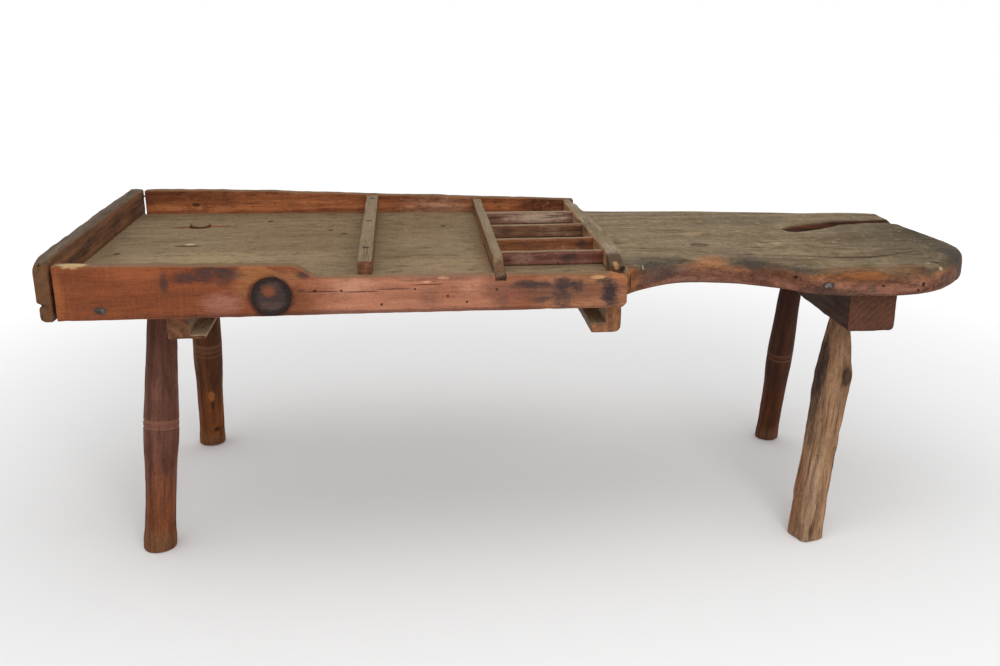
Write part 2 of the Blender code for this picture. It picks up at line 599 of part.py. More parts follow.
# The tray legs have tenons driven up through the plank and cut flush with the tray's floor
for name, leg in (("front_tray_leg", FRONT_TRAY_LEG), ("back_tray_leg", BACK_TRAY_LEG)):
    made = add_leg(name, leg, turned_profile(leg, UNDERSIDE, TOP - FIT), dark_oak, (True, True))
    cut(plank, leg_socket(leg, UNDERSIDE - NECK_LENGTH, TOP + NECK_LENGTH), f"{name}_socket", made)

# The seat legs are driven into blind holes in the cleat. The front one is a later leg, hewn from a branch.
for name, leg, profile, facets, wood in (
        ("back_seat_leg", BACK_SEAT_LEG, turned_profile, None, dark_oak),
        ("front_seat_leg", FRONT_SEAT_LEG, hewn_profile, HEWN_FACETS, branch)):
    made = add_leg(name, leg, profile(leg, CLEAT_BOTTOM, SOCKET_TOP - FIT), wood, (True, False), facets)
    cut(cleat, leg_socket(leg, CLEAT_BOTTOM - NECK_LENGTH, SOCKET_TOP), f"{name}_socket", made)

# Nails through the front rail into the plank's edge
front_places = [CORNER_NAIL] + [(TRAY_LENGTH - x, level) for x, level in FRONT_NAILS]
for number, (x, level) in enumerate(front_places, start=1):
    drive_nail(f"front_rail_nail_{number}", (x, 0.0, TOP - PLANK_THICKNESS * level), (0, 1, 0),
               RAIL_THICKNESS + NAIL_BITE, (front_rail, plank))

# Nails through the back rail into the plank's edge and into the ends of two boards
edge_level = TOP - PLANK_THICKNESS * EDGE_NAIL_LEVEL
board_level = TOP + PARTITION_HEIGHT / 2
back_step = (TRAY_LENGTH - 2 * BACK_NAIL_INSET) / (BACK_NAIL_COUNT - 1)
back_places = [(BACK_NAIL_INSET + back_step * i, edge_level, plank) for i in range(BACK_NAIL_COUNT)]
back_places += [((DIVIDER_LEFT + DIVIDER_RIGHT) / 2, board_level, compartment_divider),
                (END_WALL_X + END_WALL_THICKNESS / 2 - END_WALL_WAVE, board_level, end_wall)]
back_inward = Vector((math.sin(back_slant), -math.cos(back_slant), 0.0))
for number, (x, level, held) in enumerate(back_places, start=1):
    face = Vector((x, back_edge(x), level)) - back_inward * (FIT + BACK_RAIL_THICKNESS)
    drive_nail(f"back_rail_nail_{number}", face, back_inward, BACK_RAIL_THICKNESS + NAIL_BITE,
               (back_rail, held))

# Nails through the end board into the plank's end, and one across the gap into the back rail
end_first = PLANK_FRONT + END_NAIL_INSET
end_last = back_edge(PLANK_LEFT) - END_NAIL_INSET
end_places = [(y, edge_level, plank) for y in (end_first, (end_first + end_last) / 2, end_last)]
end_places.append((back_edge(0.0) + BACK_RAIL_THICKNESS / 2,
                   TOP + min(END_BOARD_HIGH, BACK_RAIL_HIGH) - end_round, back_rail))
for number, (y, level, held) in enumerate(end_places, start=1):
    drive_nail(f"end_board_nail_{number}", (-END_BOARD_THICKNESS, y, level), (1, 0, 0),
               END_BOARD_THICKNESS + NAIL_BITE, (end_board, held))

# Nails down through the cross divider, and up through the runners and the cleat
plank_bite = PLANK_THICKNESS - NAIL_COVER
cross_middle = (cross_left + cross_right) / 2
cross_first = PLANK_FRONT + DIVIDER_NAIL_FRONT
cross_last = back_edge(cross_middle) - DIVIDER_NAIL_BACK
for number, y in enumerate((cross_first, (cross_first + cross_last) / 2, cross_last), start=1):
    drive_nail(f"cross_divider_nail_{number}", (cross_middle, y, TOP + CROSS_DIVIDER_HEIGHT), (0, 0, -1),
               CROSS_DIVIDER_HEIGHT + plank_bite, (cross_divider, plank))
for runner, side, x, bottom in (
        (left_runner, "left", left_x + LEFT_RUNNER_WIDTH / 2, left_bottom),
        (right_runner, "right", right_inner + (RIGHT_RUNNER_WIDTH - RUNNER_ROUND) / 2, right_bottom)):
    ends = (RUNNER_SETBACK + RUNNER_NAIL_INSET, runner_back - RUNNER_NAIL_INSET)
    for number, y in enumerate(ends, start=1):
        drive_nail(f"{side}_runner_nail_{number}", (x, y, bottom), (0, 0, 1),
                   runner_top - bottom + plank_bite, (runner, plank))
cleat_nail_x = CLEAT_LEFT + CLEAT_WIDTH - CLEAT_NAIL_INSET
cleat_middle = CLEAT_SETBACK + CLEAT_LENGTH / 2
ends = (CLEAT_SETBACK + CLEAT_NAIL_INSET, cleat_middle, CLEAT_BACK - CLEAT_NAIL_INSET)
for number, y in enumerate(ends, start=1):
    drive_nail(f"cleat_nail_{number}", (cleat_nail_x, y, CLEAT_BOTTOM), (0, 0, 1),
               CLEAT_HEIGHT + plank_bite, (cleat, plank))

# The large nail left in the seat's front edge
edge_x = TRAY_LENGTH + SEAT_EDGE_NAIL
edge_index = min(range(len(outline) // 2), key=lambda i: abs(outline[i].x - edge_x))
drive_nail("seat_edge_nail", (*outline[edge_index], TOP - SEAT_EDGE_NAIL_LEVEL),
           (*inward[edge_index], 0.0), EDGE_NAIL_DEPTH, (plank,), EDGE_NAIL_HEAD_RADIUS)

for piece, shapes in holes.values():
    cut(piece, joined(shapes), "nail_holes")

# The middle of the footprint comes to the origin
corners = [piece.matrix_basis @ vert.co for piece in pieces for vert in piece.data.vertices]
bench.location = (-(min(c.x for c in corners) + max(c.x for c in corners)) / 2,
                  -(min(c.y for c in corners) + max(c.y for c in corners)) / 2, 0.0)
bpy.context.view_layer.update()
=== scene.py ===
import json
import math

import bmesh
import bpy
import numpy as np
from mathutils import Matrix, Vector, geometry, noise


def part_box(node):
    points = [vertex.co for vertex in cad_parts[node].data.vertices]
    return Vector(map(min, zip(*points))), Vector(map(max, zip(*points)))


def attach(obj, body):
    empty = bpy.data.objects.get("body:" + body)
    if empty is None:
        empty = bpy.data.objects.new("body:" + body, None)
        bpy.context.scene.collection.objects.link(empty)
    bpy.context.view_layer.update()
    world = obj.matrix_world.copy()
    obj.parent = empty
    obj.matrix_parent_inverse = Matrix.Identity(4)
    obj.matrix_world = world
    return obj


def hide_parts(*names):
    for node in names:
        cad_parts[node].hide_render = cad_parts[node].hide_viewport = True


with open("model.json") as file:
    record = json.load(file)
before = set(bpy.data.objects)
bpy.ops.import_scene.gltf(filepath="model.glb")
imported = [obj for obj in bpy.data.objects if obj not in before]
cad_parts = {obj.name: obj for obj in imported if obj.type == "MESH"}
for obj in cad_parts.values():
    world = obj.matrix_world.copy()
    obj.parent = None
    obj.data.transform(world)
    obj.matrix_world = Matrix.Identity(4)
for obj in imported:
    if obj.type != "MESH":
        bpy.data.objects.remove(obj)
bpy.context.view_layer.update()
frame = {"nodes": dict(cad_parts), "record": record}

# The plank
# One thick sawn plank carries everything. Its left part is the floor of the tray. Its right part is cut in
# at the front to a waist and rounded into a seat, worn hollow, dry and split along the grain.

TRAY = Vector((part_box("end_board")[1].x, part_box("front_rail")[0].y, 0.0))   # the tray's front left corner
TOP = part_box("bench_plank")[1].z
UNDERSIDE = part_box("bench_plank")[0].z
TRAY_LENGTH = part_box("front_rail")[1].x - TRAY.x
RAIL_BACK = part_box("front_rail")[1].y - TRAY.y
FIT_GAP = 0.0003               # left open between pieces that lie against each other
PLANK_FRONT = RAIL_BACK + FIT_GAP
BACK_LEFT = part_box("bench_plank")[1].y - TRAY.y
BACK_RIGHT = 0.466             # the plank's back edge at the tray's right end
END_SKEW = 0.0055              # the end board stands off by this much at the front
SKEW_REACH = 0.1               # the plank's left end follows it over this length
NECK = 0.014                   # the waist leaves the rail this far before the rail's end
NECK_REACH = 0.075             # past the neck the edge gets rounder over this length
# The outline, as distances past the tray's right end and behind the front rail's outer face
WAIST = ((0.033, 0.062), (0.085, 0.091), (0.128, 0.095), (0.184, 0.081), (0.234, 0.052), (0.279, 0.017))
SEAT_FRONT = ((0.335, 0.003), (0.389, 0.000), (0.440, 0.013), (0.486, 0.046))
SEAT_END = ((0.529, 0.097), (0.550, 0.150), (0.545, 0.205), (0.532, 0.300), (0.526, 0.370), (0.511, 0.401))
SEAT_BACK = ((0.391, 0.418), (0.219, 0.446))
CURVE_STEPS = 24
# Lines along the grain, as distances from the tray's front left corner: the drying check in the seat, the
# steep lip of the split, the back of its slope, and the crack through the back leg's tenon
CHECK_LINE = ((0.0, 0.135), (0.90, 0.130), (1.010, 0.112), (1.061, 0.102), (1.093, 0.093), (1.138, 0.089),
              (1.165, 0.095), (1.191, 0.107), (1.231, 0.123), (1.31, 0.158))
LIP_LINE = ((0.0, 0.293), (1.05, 0.296), (1.081, 0.293), (1.088, 0.275), (1.105, 0.271), (1.148, 0.286),
            (1.182, 0.303), (1.196, 0.312), (1.247, 0.320), (1.31, 0.320))
SLOPE_LINE = ((0.0, 0.300), (1.05, 0.300), (1.081, 0.297), (1.101, 0.315), (1.120, 0.3275), (1.149, 0.337),
              (1.192, 0.350), (1.243, 0.345), (1.274, 0.349), (1.31, 0.345))
CRACK_LINE = ((0.0, 0.391), (0.20, 0.392), (1.0, 0.387), (1.25, 0.376), (1.31, 0.372))
CHECK_DEPTH = ((0.925, 0.0), (0.97, 0.0008), (1.03, 0.0016), (1.10, 0.0030), (1.16, 0.0030), (1.25, 0.0))
LIP_DEPTH = ((1.079, 0.0), (1.092, 0.008), (1.130, 0.016), (1.190, 0.016), (1.230, 0.011), (1.32, 0.009))
CRACK_DEPTH = ((0.064, 0.0), (0.085, 0.0016), (0.150, 0.0016), (0.170, 0.0))
CHECK_WIDTH = 0.0018
CHECK_SHADE = 0.0046           # how far dirt darkens the wood beside the check
LIP_WIDTH = 0.0016
SLOPE_CURVE = 1.3              # how hollow the split's slope is
ON_LINE = 1e-5                 # a row that is nearer than this lies on the line
SPLIT_NOTCH = (0.320, 0.013, 0.011)    # where the split opens the seat's end: place, depth, half its width
SEAT_DISH = 0.0035             # how far the seat is worn hollow
DISH_CENTRE = (1.08, 0.205)
DISH_REACH = (0.15, 0.12)
SEAT_ROUND = 0.0150            # worn rounding of the seat's upper edge
BACK_ROUND = 0.005
BOTTOM_ROUND = 0.004
SAWN_ROUND = 0.0006            # rounding where nothing has worn it
TIP_ROUND = 0.4                # how much rounder the edge is at the seat's end
TIP = (1.1, 0.13)              # where it starts to get rounder, and over what length
RIM_WAVE, END_WAVE = 0.07, 0.05        # lengths of the unevenness along the rim and at the seat's end
FRONT_UNEVEN, BACK_UNEVEN, END_UNEVEN = 0.3, 0.4, 0.2  # how uneven the rounding is, as shares of it
WALL_DROP = 1.05               # the rounding reaches down a little further than in
BULGE_REACH = 0.16             # over this length the columns bend to follow the seat's end
TOP_WAVES, TOP_FIBRES = 0.0007, 0.00025        # heights of the top's broad waves and of its raised fibres
TRAY_SHARE = 0.4               # the tray's floor has this share of that unevenness
TOP_SINK = 0.0005              # the uneven top lies this much lower, to stay in the solid
SIDE_WAVES, SIDE_FIBRES = 0.0010, 0.0004       # the same for the seat's edge
SIDE_SINK = 0.0008
CHECK_BLACK = 0.0025           # so deep a check has all the dirt beside it
CHECK_DIRT = 0.65              # how dark that dirt is
CRACK_BLACK = 0.0012           # so deep a crack is black inside
LIP_LEAST = 0.006              # a shallower split is no darker than one of this depth would be
SPLIT_CLEAN = 0.04             # the topmost share of the split's slope is clean
SPLIT_DARK, SPLIT_BARE = 1.6, 6.0      # how fast the slope gets dark, and bare, with its depth
UNDER_INSET = 0.004            # the underside's first row lies this far in
UNDER_WAVES = 0.0006           # height of the underside's unevenness
COLUMN_RUNS = ((0.0, 0.0055), (0.75, 0.0045), (1.05, 0.0028))      # columns of the mesh: start and spacing
ROWS = (26, 1, 1, 36, 1, 14, 13, 1, 1, 20)     # rows between the lines along the grain, from the front
ARC = 6                        # steps round the seat's upper edge
WALL = 6                       # steps down the plank's side
BOTTOM_ARC = 3                 # steps round its lower edge


def at(x, y, z):
    """A point given from the tray's front left corner and the floor."""
    return Vector((TRAY.x + x, TRAY.y + y, z))


def uneven(point, size, octaves=3):
    """Smooth unevenness between about -1 and 1, with hollows of the given size."""
    return noise.fractal(Vector(point) / size, 1.0, 2.0, octaves)


def along(line, x):
    """The height of a line given by points, at x."""
    return float(np.interp(x, [p[0] for p in line], [p[1] for p in line]))


def ramp(value, start, reach):
    """0 up to start, then rising to 1 over a reach."""
    return min(max((value - start) / reach, 0.0), 1.0)


def smooth_path(points, before, after):
    """A smooth curve through points; before and after steer its two ends."""
    knots = [Vector(p) for p in (before, *points, after)]
    path = []
    for p0, p1, p2, p3 in zip(knots, knots[1:], knots[2:], knots[3:]):
        for step in range(CURVE_STEPS):
            t = step / CURVE_STEPS
            path.append(0.5 * (2 * p1 + (p2 - p0) * t + (2 * p0 - 5 * p1 + 4 * p2 - p3) * t ** 2
                               + (3 * p1 - p0 - 3 * p2 + p3) * t ** 3))
    path.append(knots[-2])
    return path


def back_edge(x):
    """The plank's slanting back edge along the tray."""
    return BACK_LEFT + (BACK_RIGHT - BACK_LEFT) * x / TRAY_LENGTH


def add_mesh(name, points, faces, marks):
    """A mesh object from points, faces and named values for each point."""
    mesh = bpy.data.meshes.new(name)
    mesh.from_pydata([tuple(p) for p in points], [], faces)
    for mark, values in marks.items():
        mesh.attributes.new(mark, "FLOAT", "POINT").data.foreach_set("value", values)
    bm = bmesh.new()
    bm.from_mesh(mesh)
    bmesh.ops.recalc_face_normals(bm, faces=bm.faces)
    bm.to_mesh(mesh)
    bm.free()
    mesh.shade_smooth()
    mesh.set_sharp_from_angle(angle=math.radians(50))
    made = bpy.data.objects.new(name, mesh)
    bpy.context.collection.objects.link(made)
    return made


neck_x = TRAY_LENGTH - NECK
rim_points = [(TRAY_LENGTH + x, y) for x, y in (*WAIST, *SEAT_FRONT, *SEAT_END, *SEAT_BACK)]
rim = smooth_path(((neck_x, PLANK_FRONT), *rim_points, (TRAY_LENGTH, BACK_RIGHT)),
                  (neck_x - NECK, PLANK_FRONT), (neck_x, back_edge(neck_x)))
front_corner = (1 + len(WAIST) + len(SEAT_FRONT)) * CURVE_STEPS
back_corner = front_corner + (len(SEAT_END) - 1) * CURVE_STEPS
front_run = [Vector((0.0, PLANK_FRONT)), *rim[:front_corner + 1]]
end_run = rim[front_corner:back_corner + 1]
back_run = [Vector((0.0, BACK_LEFT)), *reversed(rim[back_corner:])]


def front_y(x):
    """The plank's front edge at x."""
    return along(front_run, x)


def back_y(x):
    """The plank's back edge at x."""
    return along(back_run, x)


def end_x(y):
    """The seat's right end at y."""
    return along([(p.y, p.x) for p in end_run], y)


def tilt(curve, x, reach=0.004):
    """The slope of a curve at x."""
    return (curve(x + reach) - curve(x - reach)) / (2 * reach)


def past_tray(x):
    """0 along the tray, rising to 1 at the waist."""
    return ramp(x, neck_x, NECK_REACH)


def in_split(x, y):
    """Whether a place lies between the split's lip and the back of its slope."""
    return along(LIP_LINE, x) + ON_LINE < y < along(SLOPE_LINE, x)


def split_depth(x, y):
    """How far the split and the cracks take the plank's top down."""
    depth = 0.0
    if in_split(x, y):
        bottom = along(LIP_LINE, x) + LIP_WIDTH
        share = max(0.0, (y - bottom) / (along(SLOPE_LINE, x) - bottom))
        depth = along(LIP_DEPTH, x) * (1 - share) ** SLOPE_CURVE
    for line, depths in ((CHECK_LINE, CHECK_DEPTH), (CRACK_LINE, CRACK_DEPTH)):
        if abs(y - along(line, x)) < ON_LINE:
            depth += along(depths, x)
    return depth


def row_levels(x, low, high):
    """Where the rows of the plank's top cross a column: evenly between the lines along the grain."""
    check, lip, slope, crack = [along(line, x) for line in (CHECK_LINE, LIP_LINE, SLOPE_LINE, CRACK_LINE)]
    stops = (low, check - CHECK_WIDTH, check, check + CHECK_WIDTH, lip, lip + LIP_WIDTH, slope,
             crack - CHECK_WIDTH, crack, crack + CHECK_WIDTH, high)
    levels = []
    for first, last, count in zip(stops, stops[1:], ROWS):
        levels += [first + (last - first) * i / count for i in range(count)]
    return levels + [high]


corner_x = end_run[0].x
column_ends = [*(start for start, gap in COLUMN_RUNS[1:]), corner_x]
columns = [x for (start, gap), end in zip(COLUMN_RUNS, column_ends) for x in np.arange(start, end, gap)]
if len(columns) % 2:
    columns.append(corner_x)
columns[-1] = corner_x
last_column = len(columns) - 1
seat_shrink = (end_run[-1].x - TRAY_LENGTH) / (corner_x - TRAY_LENGTH)

# The rim, column by column: a point of the outline, the outward direction and the rounding there
front_rim, back_rim, end_rim = [], [], []
for x in columns:
    lean = tilt(front_y, x) if x > neck_x else 0.0
    wave = FRONT_UNEVEN * uneven((x, 0.0, 0.0), RIM_WAVE, 2)
    worn = SEAT_ROUND * (1.0 + wave + TIP_ROUND * ramp(x, *TIP))
    outward = Vector((lean, -1.0)).normalized()
    front_rim.append((Vector((x, front_y(x))), outward, SAWN_ROUND + worn * past_tray(x)))
    shifted = x if x < TRAY_LENGTH else TRAY_LENGTH + (x - TRAY_LENGTH) * seat_shrink
    worn = BACK_ROUND * (1.0 + BACK_UNEVEN * uneven((shifted, 3.0, 0.0), RIM_WAVE, 2))
    outward = Vector((-tilt(back_y, shifted), 1.0)).normalized()
    back_rim.append((Vector((shifted, back_y(shifted))), outward, SAWN_ROUND + worn * past_tray(shifted)))


def inner(entry):
    """The rim of the plank's flat top: the outline less its rounding."""
    return entry[0] - entry[1] * entry[2]


end_low, end_high = inner(front_rim[-1]), inner(back_rim[-1])
end_levels = row_levels(corner_x, end_low.y, end_high.y)
last_row = len(end_levels) - 1
for number, y in enumerate(end_levels):
    level = end_run[0].y + (end_run[-1].y - end_run[0].y) * (y - end_low.y) / (end_high.y - end_low.y)
    outward = Vector((1.0, -tilt(end_x, level))).normalized()
    worn = front_rim[-1][2] + (back_rim[-1][2] - front_rim[-1][2]) * number / last_row
    worn *= 1 + END_UNEVEN * uneven((0.0, level, 5.0), END_WAVE)
    notch = SPLIT_NOTCH[1] * max(0.0, 1 - abs(level - SPLIT_NOTCH[0]) / SPLIT_NOTCH[2])
    end_rim.append((Vector((end_x(level) - notch, level)), outward, worn))
end_rim[0] = front_rim[-1]
end_rim[-1] = back_rim[-1]

plan = []                      # the flat top, column by column
for number, x in enumerate(columns):
    low, high = inner(front_rim[number]), inner(back_rim[number])
    bulge = max(0.0, 1 - (corner_x - x) / BULGE_REACH) ** 2
    column = []
    for row, y in enumerate(row_levels(x, low.y, high.y)):
        point = low.lerp(high, (y - low.y) / (high.y - low.y))
        end_share = (end_levels[row] - end_low.y) / (end_high.y - end_low.y)
        shift = inner(end_rim[row]) - end_low.lerp(end_high, end_share)
        column.append((point.x + shift.x * bulge, y + shift.y * bulge, x, y))
    plan.append(column)

points = []
plank_marks = {"worn": [], "dark": [], "bare": [], "side": []}


def add_point(x, y, z, worn=0.0, dark=0.0, bare=0.0, side=1.0):
    """Adds a point of the plank, moved to follow the skewed end board, and gives its number."""
    skew = END_SKEW * (1 - y / BACK_LEFT) * max(0.0, 1 - x / SKEW_REACH)
    points.append(at(x - skew, y, z))
    for values, value in zip(plank_marks.values(), (worn, dark, bare, side)):
        values.append(value)
    return len(points) - 1


def plank_top(x, y, grain_x, grain_y):
    """Height of the plank's worn top, and how dark and how bare it is."""
    depth = split_depth(grain_x, grain_y)
    dish = SEAT_DISH * math.exp(-((x - DISH_CENTRE[0]) / DISH_REACH[0]) ** 2
                                - ((y - DISH_CENTRE[1]) / DISH_REACH[1]) ** 2)
    swell = TOP_WAVES * uneven((x * 0.4, y, 0.0), 0.06) + TOP_FIBRES * uneven((x * 0.12, y, 2.0), 0.006, 2)
    check = math.exp(-((grain_y - along(CHECK_LINE, grain_x)) / CHECK_SHADE) ** 2)
    check *= min(1.0, along(CHECK_DEPTH, grain_x) / CHECK_BLACK)
    if in_split(grain_x, grain_y):
        share = depth / max(along(LIP_DEPTH, grain_x), LIP_LEAST)
        dark, bare = max(0.0, share - SPLIT_CLEAN) * SPLIT_DARK, min(1.0, share * SPLIT_BARE)
    else:
        dark, bare = min(1.0, depth / CRACK_BLACK), 0.0
    z = TOP - depth - dish + swell * (TRAY_SHARE + (1 - TRAY_SHARE) * past_tray(x)) - TOP_SINK
    return z, max(dark, CHECK_DIRT * check), bare


top_index = []
for column in plan:
    line = []
    for x, y, grain_x, grain_y in column:
        z, dark, bare = plank_top(x, y, grain_x, grain_y)
        line.append(add_point(x, y, z, dark=dark, bare=bare, side=0.0))
    top_index.append(line)
faces = []
for i in range(last_column):
    for j in range(last_row):
        faces.append((top_index[i][j], top_index[i + 1][j], top_index[i + 1][j + 1], top_index[i][j + 1]))

left_rim = [(Vector((0.0, y)), Vector((-1.0, 0.0)), 0.0) for y in row_levels(0.0, PLANK_FRONT, BACK_LEFT)]
loop_rim = [*front_rim, *end_rim[1:-1], *reversed(back_rim), *reversed(left_rim[1:-1])]
loop_places = [*((i, 0) for i in range(last_column + 1)), *((last_column, j) for j in range(1, last_row)),
               *((i, last_row) for i in range(last_column, -1, -1)),
               *((0, j) for j in range(last_row - 1, 0, -1))]
loop_top = [top_index[i][j] for i, j in loop_places]
ring_shapes = []               # share of the rounding, share of its drop, way down the wall, edge wear
for step in range(1, ARC + 1):
    angle = math.radians(90 * step / ARC)
    ring_shapes.append((1 - math.sin(angle), 1 - math.cos(angle), 0.0, math.sin(2 * angle)))
for step in range(1, WALL):
    ring_shapes.append((0.0, 1.0, step / WALL, 0.0))
for step in range(BOTTOM_ARC + 1):
    angle = math.radians(90 * step / BOTTOM_ARC)
    ring_shapes.append((-(1 - math.cos(angle)), 1.0, 1.0 + math.sin(angle), math.sin(2 * angle)))
previous = loop_top
for inset_share, drop_share, down_share, wear in ring_shapes:
    ring = []
    for number, (outline, outward, rounding) in enumerate(loop_rim):
        seat_part = past_tray(outline.x)
        inset = rounding * inset_share if inset_share >= 0 else -inset_share * BOTTOM_ROUND * seat_part
        wall_top = min(TOP, points[loop_top[number]].z) - rounding * drop_share * WALL_DROP
        if down_share > 1:
            z = UNDERSIDE + BOTTOM_ROUND * (2 - down_share)
        else:
            z = wall_top + (UNDERSIDE + BOTTOM_ROUND - wall_top) * down_share
        spot = outline - outward * inset
        spot = spot + outward * (seat_part * drop_share) * (
            SIDE_WAVES * uneven((spot.x * 0.6, spot.y, z), 0.03)
            + SIDE_FIBRES * uneven((spot.x * 0.3, spot.y, z * 1.5), 0.006, 2) - SIDE_SINK)
        dark = plank_marks["dark"][loop_top[number]] * max(0.0, 1 - down_share)
        ring.append(add_point(spot.x, spot.y, z, worn=wear * seat_part, dark=dark, side=drop_share))
    count = len(ring)
    faces += [(previous[i], ring[i], ring[(i + 1) % count], previous[(i + 1) % count]) for i in range(count)]
    previous = ring

# The underside has half as many columns and rows
under_index = [[None] * (last_row // 2 + 1) for i in range(last_column // 2 + 1)]
coarse = []
for (i, j), (outline, outward, rounding) in list(zip(loop_places, loop_rim))[::2]:
    spot = outline - outward * (BOTTOM_ROUND * past_tray(outline.x) + UNDER_INSET)
    if i == 0:
        spot.x = UNDER_INSET
    under_index[i // 2][j // 2] = add_point(spot.x, spot.y, UNDERSIDE)
    coarse.append(under_index[i // 2][j // 2])
for k in range(len(coarse)):
    a0, a1, a2 = previous[2 * k], previous[2 * k + 1], previous[(2 * k + 2) % len(previous)]
    b0, b1 = coarse[k], coarse[(k + 1) % len(coarse)]
    faces += [(a0, a1, b0), (a1, b1, b0), (a1, a2, b1)]
for i in range(1, last_column // 2):
    for j in range(1, last_row // 2):
        x, y = plan[2 * i][2 * j][:2]
        under_index[i][j] = add_point(x, y, UNDERSIDE + UNDER_WAVES * uneven((x * 0.5, y, 7.0), 0.05))
for near, far in zip(under_index, under_index[1:]):
    faces += [(near[j], near[j + 1], far[j + 1], far[j]) for j in range(last_row // 2)]

plank = add_mesh("plank", points, faces, plank_marks)
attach(plank, "root")
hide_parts("bench_plank")


def tone(red, green, blue):
    """A colour as it looks on a screen, in steps of 255, as linear light."""
    return (*(((c / 255 + 0.055) / 1.055) ** 2.4 for c in (red, green, blue)), 1.0)


def node(tree, kind, inputs=None, family="ShaderNode", **settings):
    """Adds a node. Each input takes a value or another node's output."""
    made = tree.nodes.new(family + kind)
    for key, value in settings.items():
        setattr(made, key, value)
    for key, value in (inputs or {}).items():
        if isinstance(value, bpy.types.NodeSocket):
            tree.links.new(value, made.inputs[key])
        else:
            made.inputs[key].default_value = value
    return made


def maths(tree, operation, first, second=0.0, clamp=False):
    return node(tree, "Math", {0: first, 1: second}, operation=operation, use_clamp=clamp).outputs[0]


def vectors(tree, operation, first, second):
    return node(tree, "VectorMath", {0: first, 1: second}, operation=operation).outputs[0]


def scaled(tree, vector, scale):
    return node(tree, "VectorMath", {0: vector, "Scale": scale}, operation="SCALE").outputs[0]


def length_of(tree, vector):
    return node(tree, "VectorMath", {0: vector}, operation="LENGTH").outputs["Value"]


def mixed(tree, factor, first, second, blend="MIX"):
    made = node(tree, "Mix", {0: factor, 6: first, 7: second}, data_type="RGBA", blend_type=blend)
    return made.outputs[2]


def grey(tree, value):
    """A value as a grey colour."""
    return node(tree, "CombineColor", {key: value for key in ("Red", "Green", "Blue")}).outputs[0]


def spread(tree, value, low, high):
    """0 at low, 1 at high and smooth between."""
    return node(tree, "MapRange", {"Value": value, "From Min": low, "From Max": high},
                interpolation_type="SMOOTHSTEP").outputs[0]


def mottle(tree, vector, stretch, detail=3.0, roughness=0.55):
    """Noise with so many blotches to the metre along each axis, as a value and as a colour."""
    spot = node(tree, "Mapping", {"Vector": vector, "Scale": stretch}).outputs[0]
    made = node(tree, "TexNoise", {"Vector": spot, "Scale": 1.0, "Detail": detail, "Roughness": roughness})
    return made.outputs["Fac"], made.outputs["Color"]


def balanced(tree, vector, stretch, detail, roughness=0.55):
    """The same noise as a value that is as often below 0 as above it."""
    return maths(tree, "SUBTRACT", mottle(tree, vector, stretch, detail, roughness)[0], 0.5)


def weighted(tree, first, first_share, second, second_share):
    """Two values, each times its share, added up."""
    return maths(tree, "ADD", maths(tree, "MULTIPLY", first, first_share),
                 maths(tree, "MULTIPLY", second, second_share))


def new_group(name, inputs, outputs):
    """A node group with named inputs (a number, or three for a vector) and outputs."""
    tree = bpy.data.node_groups.new(name, "ShaderNodeTree")
    for label, value in inputs.items():
        kind = "Vector" if isinstance(value, tuple) else "Float"
        socket = tree.interface.new_socket(label, in_out="INPUT", socket_type="NodeSocket" + kind)
        socket.default_value = value
    for label in outputs:
        tree.interface.new_socket(label, in_out="OUTPUT", socket_type="NodeSocketFloat")
    return tree, tree.nodes.new("NodeGroupInput").outputs, tree.nodes.new("NodeGroupOutput").inputs


# Grain: growth rings round the tree's heart, fibres and pores along the grain, and fine drying shakes
ORIGIN = (0.0, 0.0, 0.0)
grain_group, given, result = new_group(
    "wood_grain", {"Vector": ORIGIN, "Ring Gap": 0.008, "Heart": (0.0, 0.1, -0.06), "Wander": 0.02},
    ("Figure", "Fibre", "Pores", "Shakes"))
tree = grain_group
sway = vectors(tree, "SUBTRACT", mottle(tree, given["Vector"], (1.6, 7.0, 7.0), 2.0)[1], (0.5, 0.5, 0.5))
bent = vectors(tree, "ADD", given["Vector"], scaled(tree, sway, given["Wander"]))
across = vectors(tree, "MULTIPLY", vectors(tree, "SUBTRACT", bent, given["Heart"]), (0.0, 1.0, 1.0))
turns = maths(tree, "PINGPONG", maths(tree, "DIVIDE", length_of(tree, across), given["Ring Gap"]), 1.0)
fibre = mottle(tree, bent, (9.0, 120.0, 120.0), 6.0, 0.72)[0]
pores = mottle(tree, bent, (26.0, 620.0, 620.0), 2.0)[0]
shake = maths(tree, "ABSOLUTE", balanced(tree, bent, (1.4, 48.0, 48.0), 3.0))
broken = spread(tree, mottle(tree, bent, (7.0, 30.0, 30.0), 2.0)[0], 0.52, 0.62)
for label, value in (("Figure", spread(tree, turns, 0.2, 1.0)), ("Fibre", spread(tree, fibre, 0.30, 0.70)),
                     ("Pores", spread(tree, pores, 0.58, 0.68)),
                     ("Shakes", maths(tree, "MULTIPLY", spread(tree, shake, 0.022, 0.006), broken))):
    tree.links.new(value, result[label])

